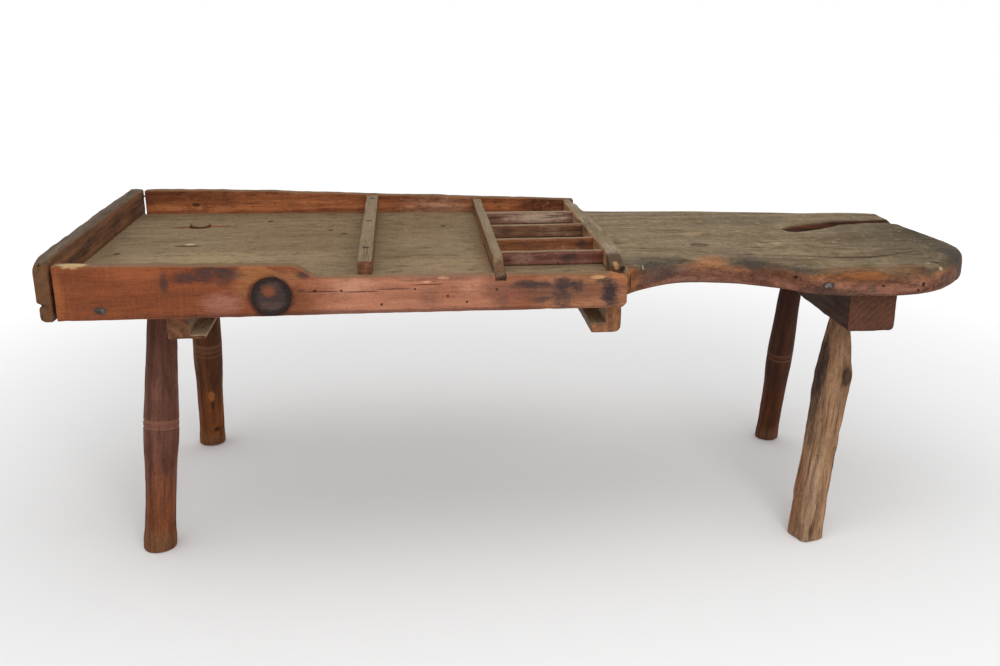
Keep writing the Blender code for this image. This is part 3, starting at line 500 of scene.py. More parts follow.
# Age: rubbed edges, grime in blotches, dust on what lies level, and specks of dirt
age_group, given, result = new_group("age", {"Vector": ORIGIN, "Worn": 0.0, "Up": 0.0},
                                     ("Rubbed", "Grime", "Dust", "Specks", "Grit"))
tree = age_group
broad = balanced(tree, given["Vector"], (5.0, 10.0, 10.0), 5.0, 0.65)
close = balanced(tree, given["Vector"], (32.0, 75.0, 75.0), 4.0, 0.6)
rub = maths(tree, "ADD", given["Worn"], weighted(tree, close, 1.6, broad, 1.2))
both = weighted(tree, broad, 0.65, close, 0.35)
fleck = mottle(tree, given["Vector"], (150.0, 210.0, 210.0), 3.0, 0.6)[0]
for label, value in (("Rubbed", spread(tree, rub, 0.45, 0.95)), ("Grime", spread(tree, both, -0.03, 0.13)),
                     ("Dust", spread(tree, maths(tree, "ADD", given["Up"], both), 0.62, 0.98)),
                     ("Specks", spread(tree, fleck, 0.62, 0.70)),
                     ("Grit", mottle(tree, given["Vector"], (300.0, 480.0, 480.0), 3.0, 0.7)[0])):
    tree.links.new(value, result[label])

# A stain: a ragged patch round a centre
stain_group, given, result = new_group(
    "stain", {"Vector": ORIGIN, "Centre": ORIGIN, "Size": (0.1, 0.1, 0.1), "Ragged": 0.8, "Soft": 0.3},
    ("Mask",))
tree = stain_group
offset = vectors(tree, "DIVIDE", vectors(tree, "SUBTRACT", given["Vector"], given["Centre"]), given["Size"])
torn = balanced(tree, given["Vector"], (55.0, 120.0, 120.0), 6.0, 0.85)
reach = maths(tree, "ADD", length_of(tree, offset), maths(tree, "MULTIPLY", torn, given["Ragged"]))
tree.links.new(spread(tree, reach, 1.0, maths(tree, "SUBTRACT", 1.0, given["Soft"])), result["Mask"])


# Dirt in the pores, in specks, in drying shakes and in hollows
PORE, SPECK, SHAKE, HOLLOW = (40, 28, 20), (44, 32, 26), (38, 26, 20), (26, 18, 14)
HOLLOW_STRENGTH = 0.9
GRIT = 0.35                    # how strongly fine grit breaks up the colour
DULL, GRIMY = 0.66, 0.16       # how rough dry wood is, and how much grime adds
STREAK_RELIEF = 0.7            # how far hard streaks stand up, when a pore goes 1 deep
RELIEF = 0.0007                # how deep that is, in metres


class WoodFinish:
    """A wood finish as it is built up: its nodes, the piece's own coordinates and its colour so far.

    A colour is its red, green and blue on a screen, or a dark and a light one to be mixed along the grain.
    """

    def __init__(self, name, dark, light, origin=None, turn=ORIGIN, heart=(0.0, 0.12, -0.09), ring_gap=0.008,
                 wander=0.02, figure=0.4):
        self.material = bpy.data.materials.new(name)
        self.material.use_nodes = True
        tree = self.tree = self.material.node_tree
        place = {"Vector": node(tree, "TexCoord").outputs["Object"], "Location": origin or at(0.0, 0.0, TOP),
                 "Rotation": turn}
        self.spot = node(tree, "Mapping", place, vector_type="TEXTURE").outputs[0]
        self.axis = node(tree, "SeparateXYZ", {0: self.spot}).outputs
        self.normal = node(tree, "SeparateXYZ", {0: node(tree, "NewGeometry").outputs["Normal"]}).outputs
        self.grain = self.group(grain_group, {"Ring Gap": ring_gap, "Heart": heart, "Wander": wander})
        self.age = self.group(age_group, {"Worn": self.mark("worn"), "Up": self.normal["Z"]})
        self.streak = weighted(tree, self.grain["Figure"], figure, self.grain["Fibre"], 1 - figure)
        self.shakes = self.grain["Shakes"]
        self.colour = self.paint((dark, light))

    def mark(self, name):
        """A value that the mesh holds for each of its points."""
        return node(self.tree, "Attribute", attribute_name=name).outputs["Fac"]

    def group(self, group, inputs):
        """One of the shared groups, fed with the piece's coordinates."""
        return node(self.tree, "Group", {"Vector": self.spot, **inputs}, node_tree=group).outputs

    def patch(self, centre, size, ragged=0.8, soft=0.3):
        """Where a ragged patch lies on the piece."""
        shape = {"Centre": centre, "Size": size, "Ragged": ragged, "Soft": soft}
        return self.group(stain_group, shape)["Mask"]

    def facing(self, axis, low, high):
        """Where the surface faces along an axis: not yet at low, and fully at high."""
        return spread(self.tree, self.normal[axis], low, high)

    def paint(self, colour):
        """One colour as light, or a dark and a light one mixed along the grain."""
        if isinstance(colour[0], tuple):
            return mixed(self.tree, self.streak, *(tone(*c) for c in colour))
        return tone(*colour)

    def tint(self, mask, colour, strength=1.0, blend="MIX"):
        """Lays a colour over the wood where the mask is."""
        factor = maths(self.tree, "MULTIPLY", mask, strength, clamp=True)
        self.colour = mixed(self.tree, factor, self.colour, self.paint(colour), blend)

    def aged(self, **layers):
        """Lays on grime, rubbed edges or dust, each with its colour and strength."""
        for layer, (colour, strength) in layers.items():
            self.tint(self.age[layer], colour, strength)

    def stain(self, centre, size, colour, strength=0.8, ragged=0.8, soft=0.3):
        """Lays a ragged patch of colour round a centre."""
        self.tint(self.patch(centre, size, ragged, soft), colour, strength)

    def stains(self, rows):
        """Lays on one stain after another, from rows of centre, size, colour, strength, ragged and soft."""
        for row in rows:
            self.stain(*row)

    def blotches(self, stretch, low, high, colour, strength, within=None, detail=6.0, roughness=0.72):
        """Lays on blotches of a colour, so many to the metre along each axis, perhaps within a mask."""
        mask = spread(self.tree, mottle(self.tree, self.spot, stretch, detail, roughness)[0], low, high)
        if within is not None:
            mask = maths(self.tree, "MULTIPLY", mask, within)
        self.tint(mask, colour, strength)

    def done(self, piece, bump=0.5, pores=0.4, specks=0.5, shakes=0.6, gloss=0.12):
        """Pores, specks, shakes, grit, gloss and relief; then the piece takes the finish."""
        tree, shader = self.tree, self.tree.nodes["Principled BSDF"]
        self.tint(self.grain["Pores"], PORE, pores)
        self.tint(self.age["Specks"], SPECK, specks)
        self.tint(self.shakes, SHAKE, shakes)
        self.tint(self.mark("dark"), HOLLOW, HOLLOW_STRENGTH)
        gritty = mixed(tree, GRIT, self.colour, grey(tree, self.age["Grit"]), "OVERLAY")
        dull = maths(tree, "ADD", DULL, maths(tree, "MULTIPLY", self.age["Grime"], GRIMY))
        gaps = maths(tree, "ADD", self.grain["Pores"], maths(tree, "MULTIPLY", self.shakes, shakes * 2))
        relief = maths(tree, "SUBTRACT", maths(tree, "MULTIPLY", self.streak, STREAK_RELIEF), gaps)
        raised = node(tree, "Bump", {"Strength": bump, "Distance": RELIEF, "Height": relief}).outputs[0]
        for label, value in (("Base Color", gritty), ("Roughness", dull), ("Normal", raised)):
            tree.links.new(value, shader.inputs[label])
        shader.inputs["Specular IOR Level"].default_value = gloss
        piece.data.materials.append(self.material)


INK = (54, 45, 46)             # old spilt blacking
GREY_INK = (68, 64, 61)
TOP_SHADES = (                 # broad on the top: along, back, half length, half width, colour, strength
    (1.27, 0.18, 0.24, 0.30, (76, 66, 51), 0.6), (1.29, 0.26, 0.09, 0.16, (66, 60, 50), 0.6),
    # The second stain on the next line, a small pale spot in the seat's worn hollow, is a painted highlight
    (1.03, 0.36, 0.13, 0.07, (90, 82, 64), 0.5), (1.034, 0.197, 0.014, 0.018, (176, 158, 124), 0.6),
    (0.93, 0.145, 0.12, 0.05, (96, 80, 64), 0.45), (0.35, 0.32, 0.32, 0.20, (108, 80, 52), 0.4),
    (0.46, 0.24, 0.05, 0.05, (154, 136, 106), 0.4), (0.16, 0.165, 0.17, 0.06, (182, 158, 120), 0.6),
    (0.34, 0.16, 0.10, 0.05, (168, 144, 110), 0.4), (0.52, 0.10, 0.11, 0.07, (174, 146, 112), 0.55),
    (0.50, 0.37, 0.12, 0.09, (98, 74, 50), 0.45), (0.10, 0.47, 0.40, 0.06, (86, 66, 44), 0.45),
    (0.572, 0.17, 0.016, 0.16, (128, 88, 58), 0.6), (0.66, 0.25, 0.09, 0.25, (92, 70, 50), 0.5))
TOP_BLOTCHES = (((11, 15, 15), (86, 65, 42), 0.5), ((9, 12, 12), (176, 154, 116), 0.45),
                ((52, 30, 30), (74, 56, 37), 0.45), ((150, 60, 60), (60, 44, 30), 0.45),
                ((110, 44, 44), (186, 164, 124), 0.5))
TOP_MARKS = (                  # along, back, half length, half width, and how the stain looks
    # The dark rim round the back leg's tenon, partly dirt in the joint and partly painted shadow, the torn
    # grain round it, chips and spots in the tray's floor
    (0.118, 0.391, 0.022, 0.022, (54, 38, 28), 0.85, 0.25),
    *((x, 0.389, 0.026, 0.0055, (124, 66, 38), 0.85, 0.6) for x in (0.088, 0.150)),
    (0.1385, 0.393, 0.008, 0.009, (158, 92, 54), 0.9, 0.4),
    # The next dark streak is painted shadow along the front of the pale chip that follows it
    (0.1245, 0.246, 0.024, 0.006, (70, 48, 34), 0.85, 0.9),
    (0.1265, 0.257, 0.009, 0.0065, (204, 180, 140), 0.9, 1.2),
    *((x, y, 0.006, 0.007, (58, 42, 32), 0.8, 0.6)
      for x, y in ((0.336, 0.343), (0.359, 0.311), (0.029, 0.204), (0.23, 0.42), (0.52, 0.36))),
    # An old oval plug in the seat, and short dark strokes along its grain
    (0.908, 0.190, 0.0145, 0.0135, (60, 46, 34), 0.8, 0.15, 0.12),
    (0.908, 0.190, 0.0115, 0.0105, (108, 93, 71), 0.9, 0.2, 0.2),
    *((x, y, length, 0.0045, (60, 48, 37), 0.65, 0.7, 0.7)
      for x, y, length in ((1.016, 0.203, 0.020), (1.147, 0.209, 0.018), (1.200, 0.134, 0.030),
                           (1.125, 0.150, 0.024), (1.235, 0.190, 0.022), (0.985, 0.150, 0.016))))
EDGE_STAINS = (                # rubbed orange and brown places on the seat's edge, then blacking over them
    ((0.902, 0.090, -0.005), (0.034, 0.05, 0.010), ((126, 82, 54), (188, 134, 94)), 0.8, 1.6, 0.7),
    *(((x, y, -0.002), (length, 0.032, 0.02), ((100, 64, 42), (160, 106, 68)), 0.65, 1.4, 0.9)
      for x, y, length in ((1.080, 0.014, 0.085), (1.170, 0.018, 0.055))),
    ((1.095, 0.006, -0.008), (0.048, 0.03, 0.007), ((120, 72, 42), (182, 116, 70)), 0.75, 1.8, 0.6),
    ((1.152, 0.012, -0.010), (0.022, 0.03, 0.007), (100, 74, 60), 0.5, 1.6, 0.7),
    ((0.858, 0.090, -0.014), (0.022, 0.05, 0.008), (142, 110, 96), 0.5, 1.6, 0.7),
    ((0.775, 0.045, -0.017), (0.014, 0.06, 0.022), ((106, 64, 38), (150, 98, 58)), 0.8, 0.8),
    ((0.985, 0.060, -0.016), (0.080, 0.07, 0.020), (84, 52, 38), 0.5, 1.6, 0.9),
    *((centre, size, GREY_INK, strength, 1.6, 0.9) for centre, size, strength in (
        ((0.818, 0.090, -0.010), (0.074, 0.062, 0.026), 0.72),
        ((0.956, 0.080, -0.006), (0.046, 0.07, 0.013), 0.72),
        ((1.020, 0.050, -0.006), (0.040, 0.05, 0.010), 0.6),
        ((1.272, 0.095, -0.008), (0.036, 0.11, 0.034), 0.9),
        ((1.190, 0.020, -0.006), (0.040, 0.03, 0.008), 0.35),
        ((1.228, 0.040, -0.026), (0.040, 0.05, 0.014), 0.5),
        ((1.107, 0.002, -0.025), (0.008, 0.03, 0.009), 0.6),
        ((1.060, 0.012, -0.032), (0.120, 0.03, 0.008), 0.4),
        ((0.880, 0.093, -0.034), (0.100, 0.03, 0.007), 0.4))))
EDGE_MARKS = (                 # pale chips, nail holes, and the bruise round the large nail
    ((1.220, 0.034, -0.0070), (0.0060, 0.012, 0.0030), (190, 170, 132), 0.7, 2.6, 0.6),
    ((1.204, 0.043, -0.0006), (0.0022, 0.005, 0.004), (180, 160, 124), 0.7, 0.8),
    ((0.794, 0.070, -0.004), (0.0014, 0.006, 0.006), (176, 164, 142), 0.7, 0.4),
    *(((x, y, z), (size, 0.02, size), (40, 27, 22), 0.85, 0.3)
      for x, y, z, size in ((1.183, 0.008, -0.022, 0.0040), (1.121, 0.001, -0.021, 0.0025),
                            (1.175, 0.005, -0.030, 0.0025), (1.009, 0.039, -0.016, 0.0030))),
    ((1.047, 0.011, -0.0222), (0.009, 0.02, 0.0060), (54, 40, 35), 0.6, 0.6),
    ((1.047, 0.011, -0.0222), (0.005, 0.02, 0.0030), (116, 88, 74), 0.6, 0.6))

finish = WoodFinish("weathered_plank", (124, 107, 83), (150, 133, 106), heart=(0.0, 0.16, -0.30),
                    ring_gap=0.011)
tree = finish.tree
finish.aged(Grime=((92, 72, 48), 0.45))
finish.stains(((x, y, 0), (length, width, 0.1), colour, strength, 1.0, 0.8)
              for x, y, length, width, colour, strength in TOP_SHADES)
for stretch, colour, strength in TOP_BLOTCHES:
    finish.blotches(stretch, 0.53, 0.72, colour, strength)
tray_side = spread(tree, finish.axis["X"], 0.765, 0.745)
finish.tint(tray_side, (138, 115, 87), 0.45)
finish.blotches((110, 80, 80), 0.62, 0.70, (176, 146, 100), 0.45, tray_side, 3.0, 0.6)
finish.stains(((x, y, 0), (length, width, 0.02), *look) for x, y, length, width, *look in TOP_MARKS)
# The worn edge is orange and red-brown, redder low down, with a dark border where the grey top begins
fray = balanced(tree, finish.spot, (26, 70, 70), 5.0, 0.7)
frayed = maths(tree, "ADD", finish.mark("side"), fray)
side = spread(tree, frayed, 0.22, 0.60)
level = maths(tree, "ADD", finish.axis["Z"], maths(tree, "MULTIPLY", fray, 0.016))
finish.tint(side, ((84, 51, 35), (160, 107, 72)), 0.92)
low_down = maths(tree, "MULTIPLY", side, spread(tree, level, -0.010, -0.020))
finish.tint(low_down, ((80, 50, 41), (150, 103, 84)), 0.9)
finish.tint(maths(tree, "SUBTRACT", spread(tree, frayed, 0.02, 0.20), side, clamp=True), (70, 55, 43), 0.6)
finish.blotches((20, 50, 90), 0.47, 0.66, (66, 44, 38), 0.6, side, 6.0, 0.75)
finish.blotches((130, 60, 170), 0.53, 0.68, (166, 118, 92), 0.3, side, 4.0, 0.7)
finish.stains(EDGE_STAINS)
sawn = finish.patch((0.776, 0.045, -0.016), (0.013, 0.06, 0.02), 0.6)
finish.blotches((380, 1, 22), 0.52, 0.60, (48, 28, 20), 0.9, sawn, 2.0, 0.55)
finish.stains(EDGE_MARKS)
finish.tint(finish.mark("bare"), ((30, 13, 7), (102, 49, 26)), 0.97)
finish.tint(finish.facing("Z", -0.6, -0.9), ((84, 62, 42), (128, 100, 70)), 0.85)
# Drying shakes show on the top only, and half as much in the tray
on_top = spread(tree, finish.mark("side"), 0.2, 0.0)
fewer = maths(tree, "SUBTRACT", 1.0, maths(tree, "MULTIPLY", tray_side, 0.5))
finish.shakes = maths(tree, "MULTIPLY", maths(tree, "MULTIPLY", finish.shakes, on_top), fewer)
finish.done(plank, gloss=0.03)


# The front rail
# A sawn board along the front of the tray, nailed to the plank's edge. It is high along the left bay, steps
# down in a curve where the cobbler reached in, and is darkened by handling and spilt blacking.

RAIL_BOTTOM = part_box("front_rail")[0].z
RAIL_LEFT = -0.001
STEP_START, STEP_END = 0.304, 0.344
RAIL_HIGH = ((0.0, 0.032), (STEP_START, 0.026))
RAIL_LOW = ((STEP_END, 0.009), (0.7395, 0.0052), (TRAY_LENGTH, 0.0005))
NOTCH = (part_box("compartment_divider")[0].x - TRAY.x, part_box("compartment_divider")[1].x - TRAY.x)
NOTCH_STEP = 0.0003            # the notch's sides fall over twice this length
RAIL_RUBBED = ((STEP_START, 1.4), (STEP_END, 3.0))     # arms rub the lower part's inner edge rounder
RAIL_CHIP = 0.006              # the lower right corner is broken off over this length
RAIL_SPACING = 0.0028
KNOT = (0.2775, -0.0155, 0.028)        # the rail's knot: along, above the plank's top, radius
KNOT_GROOVE = (0.0009, 0.07)   # the groove round it: depth, and width as a share of the radius
KNOT_WANDER = 0.07             # how far it strays from a circle, as the same share
KNOT_BLACK = 0.0011            # so deep a groove would be black with dirt
KNOT_FACE = 0.001              # it is cut into what lies no deeper than this: the rail's face
RAIL_WAVES = 0.0008            # height of the unevenness of the rails' tops
EDGE = 0.0016                  # usual rounding of a worn edge
LEAST_EDGE = 0.0011
EDGE_MEAN, EDGE_UNEVEN = 1.1, 0.6      # an edge's mean rounding and its unevenness, as shares of its size
BRUISE_SIZE = 0.03
BRUISED, BRUISE_DEPTH = 0.35, 4.0      # unevenness above this is a bruise, and cuts this much deeper
GRAIN_STRETCH = 0.22           # the smaller, the longer the unevenness of a face along the grain
BROAD_SIZE, FINE_SIZE = 0.02, 0.005    # sizes of a face's broad and fine hollows
FINE_SHARE = 0.6
FACE_SINK = 0.3                # the face lies this much lower, as a share of its unevenness
END_ROUND = 0.0009
END_LIP = 0.0007               # how far the rounded end passes on to the flat end
END_STEPS = 4


def bench_box(name):
    """A solid's two corners, from the tray's front left corner and the floor."""
    return [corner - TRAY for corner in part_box(name)]


def worn_edge(size, *where):
    """The rounding of an edge at a place: uneven, with a deeper bruise here and there."""
    bruise = uneven(where, BRUISE_SIZE, 2)
    share = EDGE_MEAN + EDGE_UNEVEN * bruise + BRUISE_DEPTH * max(0.0, bruise - BRUISED)
    return max(LEAST_EDGE, size * share)


def rectangle(left, bottom, right, top):
    """Its four corners, anticlockwise."""
    return (left, bottom), (right, bottom), (right, top), (left, top)


def worn_section(corners, radii, spans, arc=4):
    """Points round a section with rounded corners, anticlockwise, each with its edge wear and no dirt."""
    cuts = []
    ahead = (*corners[1:], corners[0])
    for before, here, after, radius in zip((corners[-1], *corners), corners, ahead, radii):
        before, here, after = Vector(before), Vector(here), Vector(after)
        cuts.append((here + (before - here).normalized() * radius, here,
                     here + (after - here).normalized() * radius))
    ring = []
    for (first, corner, last), following, span in zip(cuts, (*cuts[1:], cuts[0]), spans):
        for t in (i / arc for i in range(arc + 1)):
            spot = first * (1 - t) ** 2 + corner * (2 * t * (1 - t)) + last * t ** 2
            ring.append((spot, 4 * t * (1 - t), 0.0))
        ring += [(last.lerp(following[0], i / span), 0.0, 0.0) for i in range(1, span)]
    return ring


def stations(first, last, spacing):
    """Evenly spaced places along a piece, and its far end."""
    return [*np.arange(first, last, spacing), last]


def loft_piece(name, stops, section, place, end_round=END_ROUND, rough=0.0005):
    """A long piece made of one section after another, with rounded and closed ends."""
    first, last = stops[0], stops[-1]
    angles = [math.radians(90 * k / END_STEPS) for k in range(END_STEPS)]
    eased = [(end_round * (1 - math.cos(a)), end_round * (1 - math.sin(a))) for a in angles]
    runs = [(first, end_round + END_LIP), *((first + s, inset) for s, inset in eased)]
    runs += [(s, 0.0) for s in stops if first + end_round <= s <= last - end_round]
    runs += [*((last - s, inset) for s, inset in reversed(eased)), (last, end_round + END_LIP)]
    seed = place(first, 0.0, 0.0) * 3
    points, worn, dark, faces, loops = [], [], [], [], []
    for s, inset in runs:
        ring = section(s)
        loops.append(range(len(points), len(points) + len(ring)))
        for k, (spot, wear, shade) in enumerate(ring):
            run = ring[(k + 1) % len(ring)][0] - ring[k - 1][0]
            outward = Vector((run.y, -run.x)).normalized()
            held = spot - outward * inset
            point = place(s, held.x, held.y)
            drawn = Vector((s * GRAIN_STRETCH, held.x, held.y)) + seed
            push = uneven(drawn, BROAD_SIZE) + FINE_SHARE * uneven(drawn, FINE_SIZE, 2) - FACE_SINK
            push *= rough
            points.append(point + (place(s, held.x + outward.x, held.y + outward.y) - point) * push)
            worn.append(max(wear, min(1.0, inset / end_round)))
            dark.append(shade)
    count = len(loops[0])
    for lower, upper in zip(loops, loops[1:]):
        faces += [(lower[i], lower[(i + 1) % count], upper[(i + 1) % count], upper[i]) for i in range(count)]
    flat = [[Vector((*spot, 0.0)) for spot, wear, shade in section(first)]]
    for loop in (loops[0], loops[-1]):
        faces += [tuple(loop[i] for i in triangle) for triangle in geometry.tessellate_polygon(flat)]
    return add_mesh(name, points, faces, {"worn": worn, "dark": dark})


def rail_top(x):
    """The front rail's worn top edge."""
    if NOTCH[0] < x < NOTCH[1]:
        return TOP
    if x <= STEP_START:
        height = along(RAIL_HIGH, x)
    elif x < STEP_END:
        share = (x - STEP_START) / (STEP_END - STEP_START)
        height = RAIL_HIGH[1][1] + (RAIL_LOW[0][1] - RAIL_HIGH[1][1]) * share * share * (3 - 2 * share)
    else:
        height = along(RAIL_LOW, x)
    return TOP + height + RAIL_WAVES * uneven((x, 0.0, 1.0), 0.06)


def rail_section(x):
    bottom = RAIL_BOTTOM + max(0.0, x - TRAY_LENGTH + RAIL_CHIP)
    edges = (1.0, 1.0, along(RAIL_RUBBED, x), 1.6)
    wear = [worn_edge(EDGE * size, x, k * 3.0, 0.0) for k, size in enumerate(edges)]
    depth, width = KNOT_GROOVE
    ring = worn_section(rectangle(0.0, bottom, RAIL_BACK, rail_top(x)), wear, (4, 10, 4, 26))
    shaped = []
    for spot, worn, _ in ring:
        away = math.hypot(x - KNOT[0], spot.y - TOP - KNOT[1]) / KNOT[2]
        away += KNOT_WANDER * uneven((x, spot.y, 0.0), 0.02, 2)
        groove = depth * math.exp(-((away - 1.0) / width) ** 2) if spot.x < KNOT_FACE else 0.0
        shaped.append((spot + Vector((groove, 0.0)), worn, min(1.0, groove / KNOT_BLACK)))
    return shaped


rail_stops = sorted([*stations(RAIL_LEFT, TRAY_LENGTH, RAIL_SPACING),
                     *(x + d for x in NOTCH for d in (-NOTCH_STEP, NOTCH_STEP))])
front_rail = loft_piece("front_rail_board", rail_stops, rail_section, at)
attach(front_rail, "root")
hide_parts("front_rail")

# Stains on the rail's face: along, above the plank's top, half length, half height, and how the stain looks
RAIL_SHADES = (
    (0.66, -0.018, 0.10, 0.024, (106, 74, 63), 0.5, 1.6, 0.8),
    (0.212, -0.024, 0.038, 0.022, (166, 114, 98), 0.6, 1.6, 0.8),
    (0.240, -0.004, 0.020, 0.020, (156, 104, 70), 0.5, 1.6, 0.8),
    (0.385, -0.004, 0.044, 0.018, (200, 148, 120), 0.5, 1.4, 0.8),
    (0.318, -0.027, 0.022, 0.016, (98, 54, 36), 0.5, 1.4, 0.8),
    (0.105, 0.019, 0.066, 0.018, (168, 94, 58), 0.45, 1.4, 0.8),
    (0.545, -0.012, 0.030, 0.018, (190, 134, 108), 0.5, 1.4, 0.8),
    (0.003, -0.010, 0.012, 0.045, (166, 100, 54), 0.5, 1.4, 0.8))
INK_SPOTS = (                  # along, above the plank's top, half length, half height, strength
    (0.140, 0.006, 0.007, 0.017, 0.62), (0.166, 0.013, 0.020, 0.010, 0.62),
    (0.192, 0.015, 0.020, 0.011, 0.68), (0.224, 0.017, 0.022, 0.010, 0.7),
    (0.215, 0.005, 0.014, 0.006, 0.5), (0.322, 0.014, 0.012, 0.006, 0.7),
    (0.317, -0.008, 0.006, 0.003, 0.6), (0.620, -0.006, 0.030, 0.007, 0.85),
    (0.644, -0.0065, 0.014, 0.006, 0.7), (0.669, -0.008, 0.019, 0.014, 0.85),
    (0.689, -0.0105, 0.012, 0.011, 0.7), (0.668, -0.028, 0.018, 0.014, 0.6),
    (0.637, -0.029, 0.018, 0.006, 0.6), (0.733, -0.022, 0.014, 0.020, 0.95),
    (0.725, -0.004, 0.014, 0.007, 0.7), (0.738, -0.0345, 0.012, 0.006, 0.6),
    (0.400, -0.040, 0.400, 0.0045, 0.5), (0.500, 0.004, 0.060, 0.004, 0.4),
    (0.585, -0.030, 0.020, 0.010, 0.35), (0.205, 0.024, 0.030, 0.005, 0.6))
INK_SPREAD = 1.15
CRACKS = ((0.345, -0.0098, 0.026), (0.395, -0.0112, 0.030), (0.440, -0.0085, 0.026), (0.485, -0.0035, 0.026))
rail_nails = [bench_box(f"front_rail_nail_{number}") for number in range(2, 9)]
RAIL_MARKS = (                 # paler and darker places, blacking, the long crack, nails, holes and the knot
    (0.256, 0.016, 0.032, 0.014, (156, 102, 62), 0.75, 1.5),
    (0.300, 0.010, 0.024, 0.016, (150, 100, 68), 0.65, 1.8, 0.6),
    (0.488, -0.020, 0.024, 0.022, (126, 84, 66), 0.6, 1.8, 0.8),
    (0.578, -0.010, 0.032, 0.030, (108, 70, 55), 0.5, 1.6, 0.8),
    *((x, z, length * INK_SPREAD, height * INK_SPREAD, INK, strength, 2.2, 0.7)
      for x, z, length, height, strength in INK_SPOTS),
    *((x, z, length, 0.0011, (70, 42, 34), 0.75, 0.35) for x, z, length in CRACKS),
    *(((low.x + high.x) / 2, (low.z + high.z) / 2 - TOP, 0.0021, 0.0020, (58, 36, 29), 0.6, 0.7)
      for low, high in rail_nails),
    (0.3355, -0.0085, 0.0022, 0.0022, (40, 28, 24), 0.9, 0.3),
    (0.055, -0.029, 0.012, 0.0080, (92, 64, 54), 0.6, 0.9),
    (*KNOT, KNOT[2], (38, 31, 31), 0.97, 0.3, 0.06),
    (*KNOT[:2], 0.0235, 0.0235, ((58, 47, 46), (96, 72, 63)), 0.85, 1.2, 0.4),
    (KNOT[0] - 0.0035, KNOT[1] + 0.008, 0.013, 0.011, (124, 70, 48), 0.9, 1.4, 0.7))
RAIL_CHIPS = (                 # fresh chips and bare wood along the top
    ((0.024, 0.008, 0.031), (0.022, 0.010, 0.006), (196, 168, 120), 0.85, 1.4),
    ((0.745, 0.008, 0.004), (0.014, 0.014, 0.008), (172, 108, 64), 0.7, 0.9),
    ((0.716, 0.004, 0.0015), (0.014, 0.008, 0.0035), (214, 162, 114), 0.8, 1.8),
    ((0.484, 0.0, 0.0), (0.007, 0.03, 0.0018), (214, 162, 122), 0.7, 1.8),
    ((0.507, 0.002, 0.005), (0.009, 0.006, 0.0022), (206, 150, 116), 0.6, 1.8))


def on_face(rows):
    """The same rows as stains that reach a little way in from the rail's face."""
    return [((x, 0, z), (length, 0.03, height), *look) for x, z, length, height, *look in rows]


finish = WoodFinish("front_rail_wood", (112, 59, 34), (134, 73, 43), heart=(0.0, 0.10, 0.06), ring_gap=0.009)
finish.stain((0.466, 0.0, -0.012), (0.182, 0.06, 0.09), ((150, 94, 72), (184, 126, 98)), 0.9, 0.5, 0.5)
finish.stain((0.70, 0.0, -0.012), (0.10, 0.06, 0.09), ((116, 76, 56), (172, 118, 84)), 0.85, 0.6, 0.5)
finish.stains(on_face(RAIL_SHADES))
finish.aged(Grime=((92, 50, 35), 0.25))
finish.blotches((330, 1, 14), 0.5, 0.75, (158, 96, 68), 0.22, detail=3.0, roughness=0.55)
finish.blotches((60, 1, 60), 0.52, 0.70, (88, 48, 33), 0.32)
finish.blotches((90, 1, 110), 0.56, 0.72, (168, 104, 70), 0.35)
finish.stains(on_face(RAIL_MARKS))
finish.aged(Rubbed=((150, 94, 60), 0.4), Dust=((124, 100, 72), 0.7))
finish.stains(RAIL_CHIPS)
finish.done(front_rail, pores=0.2, specks=0.35, shakes=0.12)


# The back rail
# A board along the plank's slanting back edge, nailed on from behind. Its top falls away towards the seat.

BACK_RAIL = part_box("back_rail")
BACK_RAIL_LEFT = BACK_RAIL[0].x - TRAY.x
BACK_RAIL_THICKNESS = 0.020
BACK_RAIL_TOP = ((0.0, 0.040), (0.130, 0.0395), (0.76, 0.019))
SLANT = math.atan((BACK_RIGHT - BACK_LEFT) / TRAY_LENGTH)
BACK_RAIL_REACH = BACK_RAIL[1].x - BACK_RAIL[0].x + BACK_RAIL_THICKNESS * math.sin(SLANT)
BACK_RAIL_LENGTH = BACK_RAIL_REACH / math.cos(SLANT)
BOARD_SPACING = 0.004          # between the sections of a board's mesh


def slanting(s, a, b):
    """Along the plank's back edge: a is the distance back from that edge."""
    start = at(BACK_RAIL_LEFT, back_edge(BACK_RAIL_LEFT) + FIT_GAP, b)
    ahead = Vector((math.cos(SLANT), math.sin(SLANT), 0.0))
    return start + ahead * s + Vector((-ahead.y, ahead.x, 0.0)) * a


def back_rail_section(s):
    top = TOP + along(BACK_RAIL_TOP, s) + RAIL_WAVES * uneven((s, 4.0, 0.0), 0.06)
    wear = [worn_edge(EDGE, s, k * 3.0, 9.0) for k in range(4)]
    return worn_section(rectangle(0.0, RAIL_BOTTOM, BACK_RAIL_THICKNESS, top), wear, (4, 12, 4, 12))


back_rail = loft_piece("back_rail_board", stations(0.0, BACK_RAIL_LENGTH, BOARD_SPACING), back_rail_section,
                       slanting)
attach(back_rail, "root")
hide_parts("back_rail")
finish = WoodFinish("back_rail_wood", (118, 65, 38), (194, 120, 76), turn=(0.0, 0.0, SLANT),
                    heart=(0.0, 0.56, 0.05), ring_gap=0.010, wander=0.03, figure=0.55)
finish.aged(Grime=((78, 46, 30), 0.45))
finish.stain((0.675, 0.46, 0.01), (0.085, 0.06, 0.04), ((42, 22, 18), (104, 56, 42)), 0.95, 0.8)
finish.stain((0.49, 0.47, 0.01), (0.11, 0.06, 0.04), ((156, 116, 92), (220, 174, 144)), 0.9, 1.0, 0.7)
finish.blotches((7, 1, 170), 0.51, 0.62, (66, 33, 20), 0.45)
finish.blotches((40, 1, 90), 0.50, 0.66, (66, 36, 24), 0.45)
finish.blotches((70, 1, 120), 0.55, 0.70, (190, 122, 82), 0.4)
finish.stain((0.597, 0.47, 0.008), (0.009, 0.04, 0.010), INK, 0.9, 1.2)
finish.stain((0.066, 0.502, 0.0146), (0.008, 0.03, 0.004), (50, 32, 24), 0.8, 0.5)
finish.aged(Rubbed=((150, 104, 68), 0.3), Dust=((106, 84, 58), 0.75))
finish.done(back_rail)


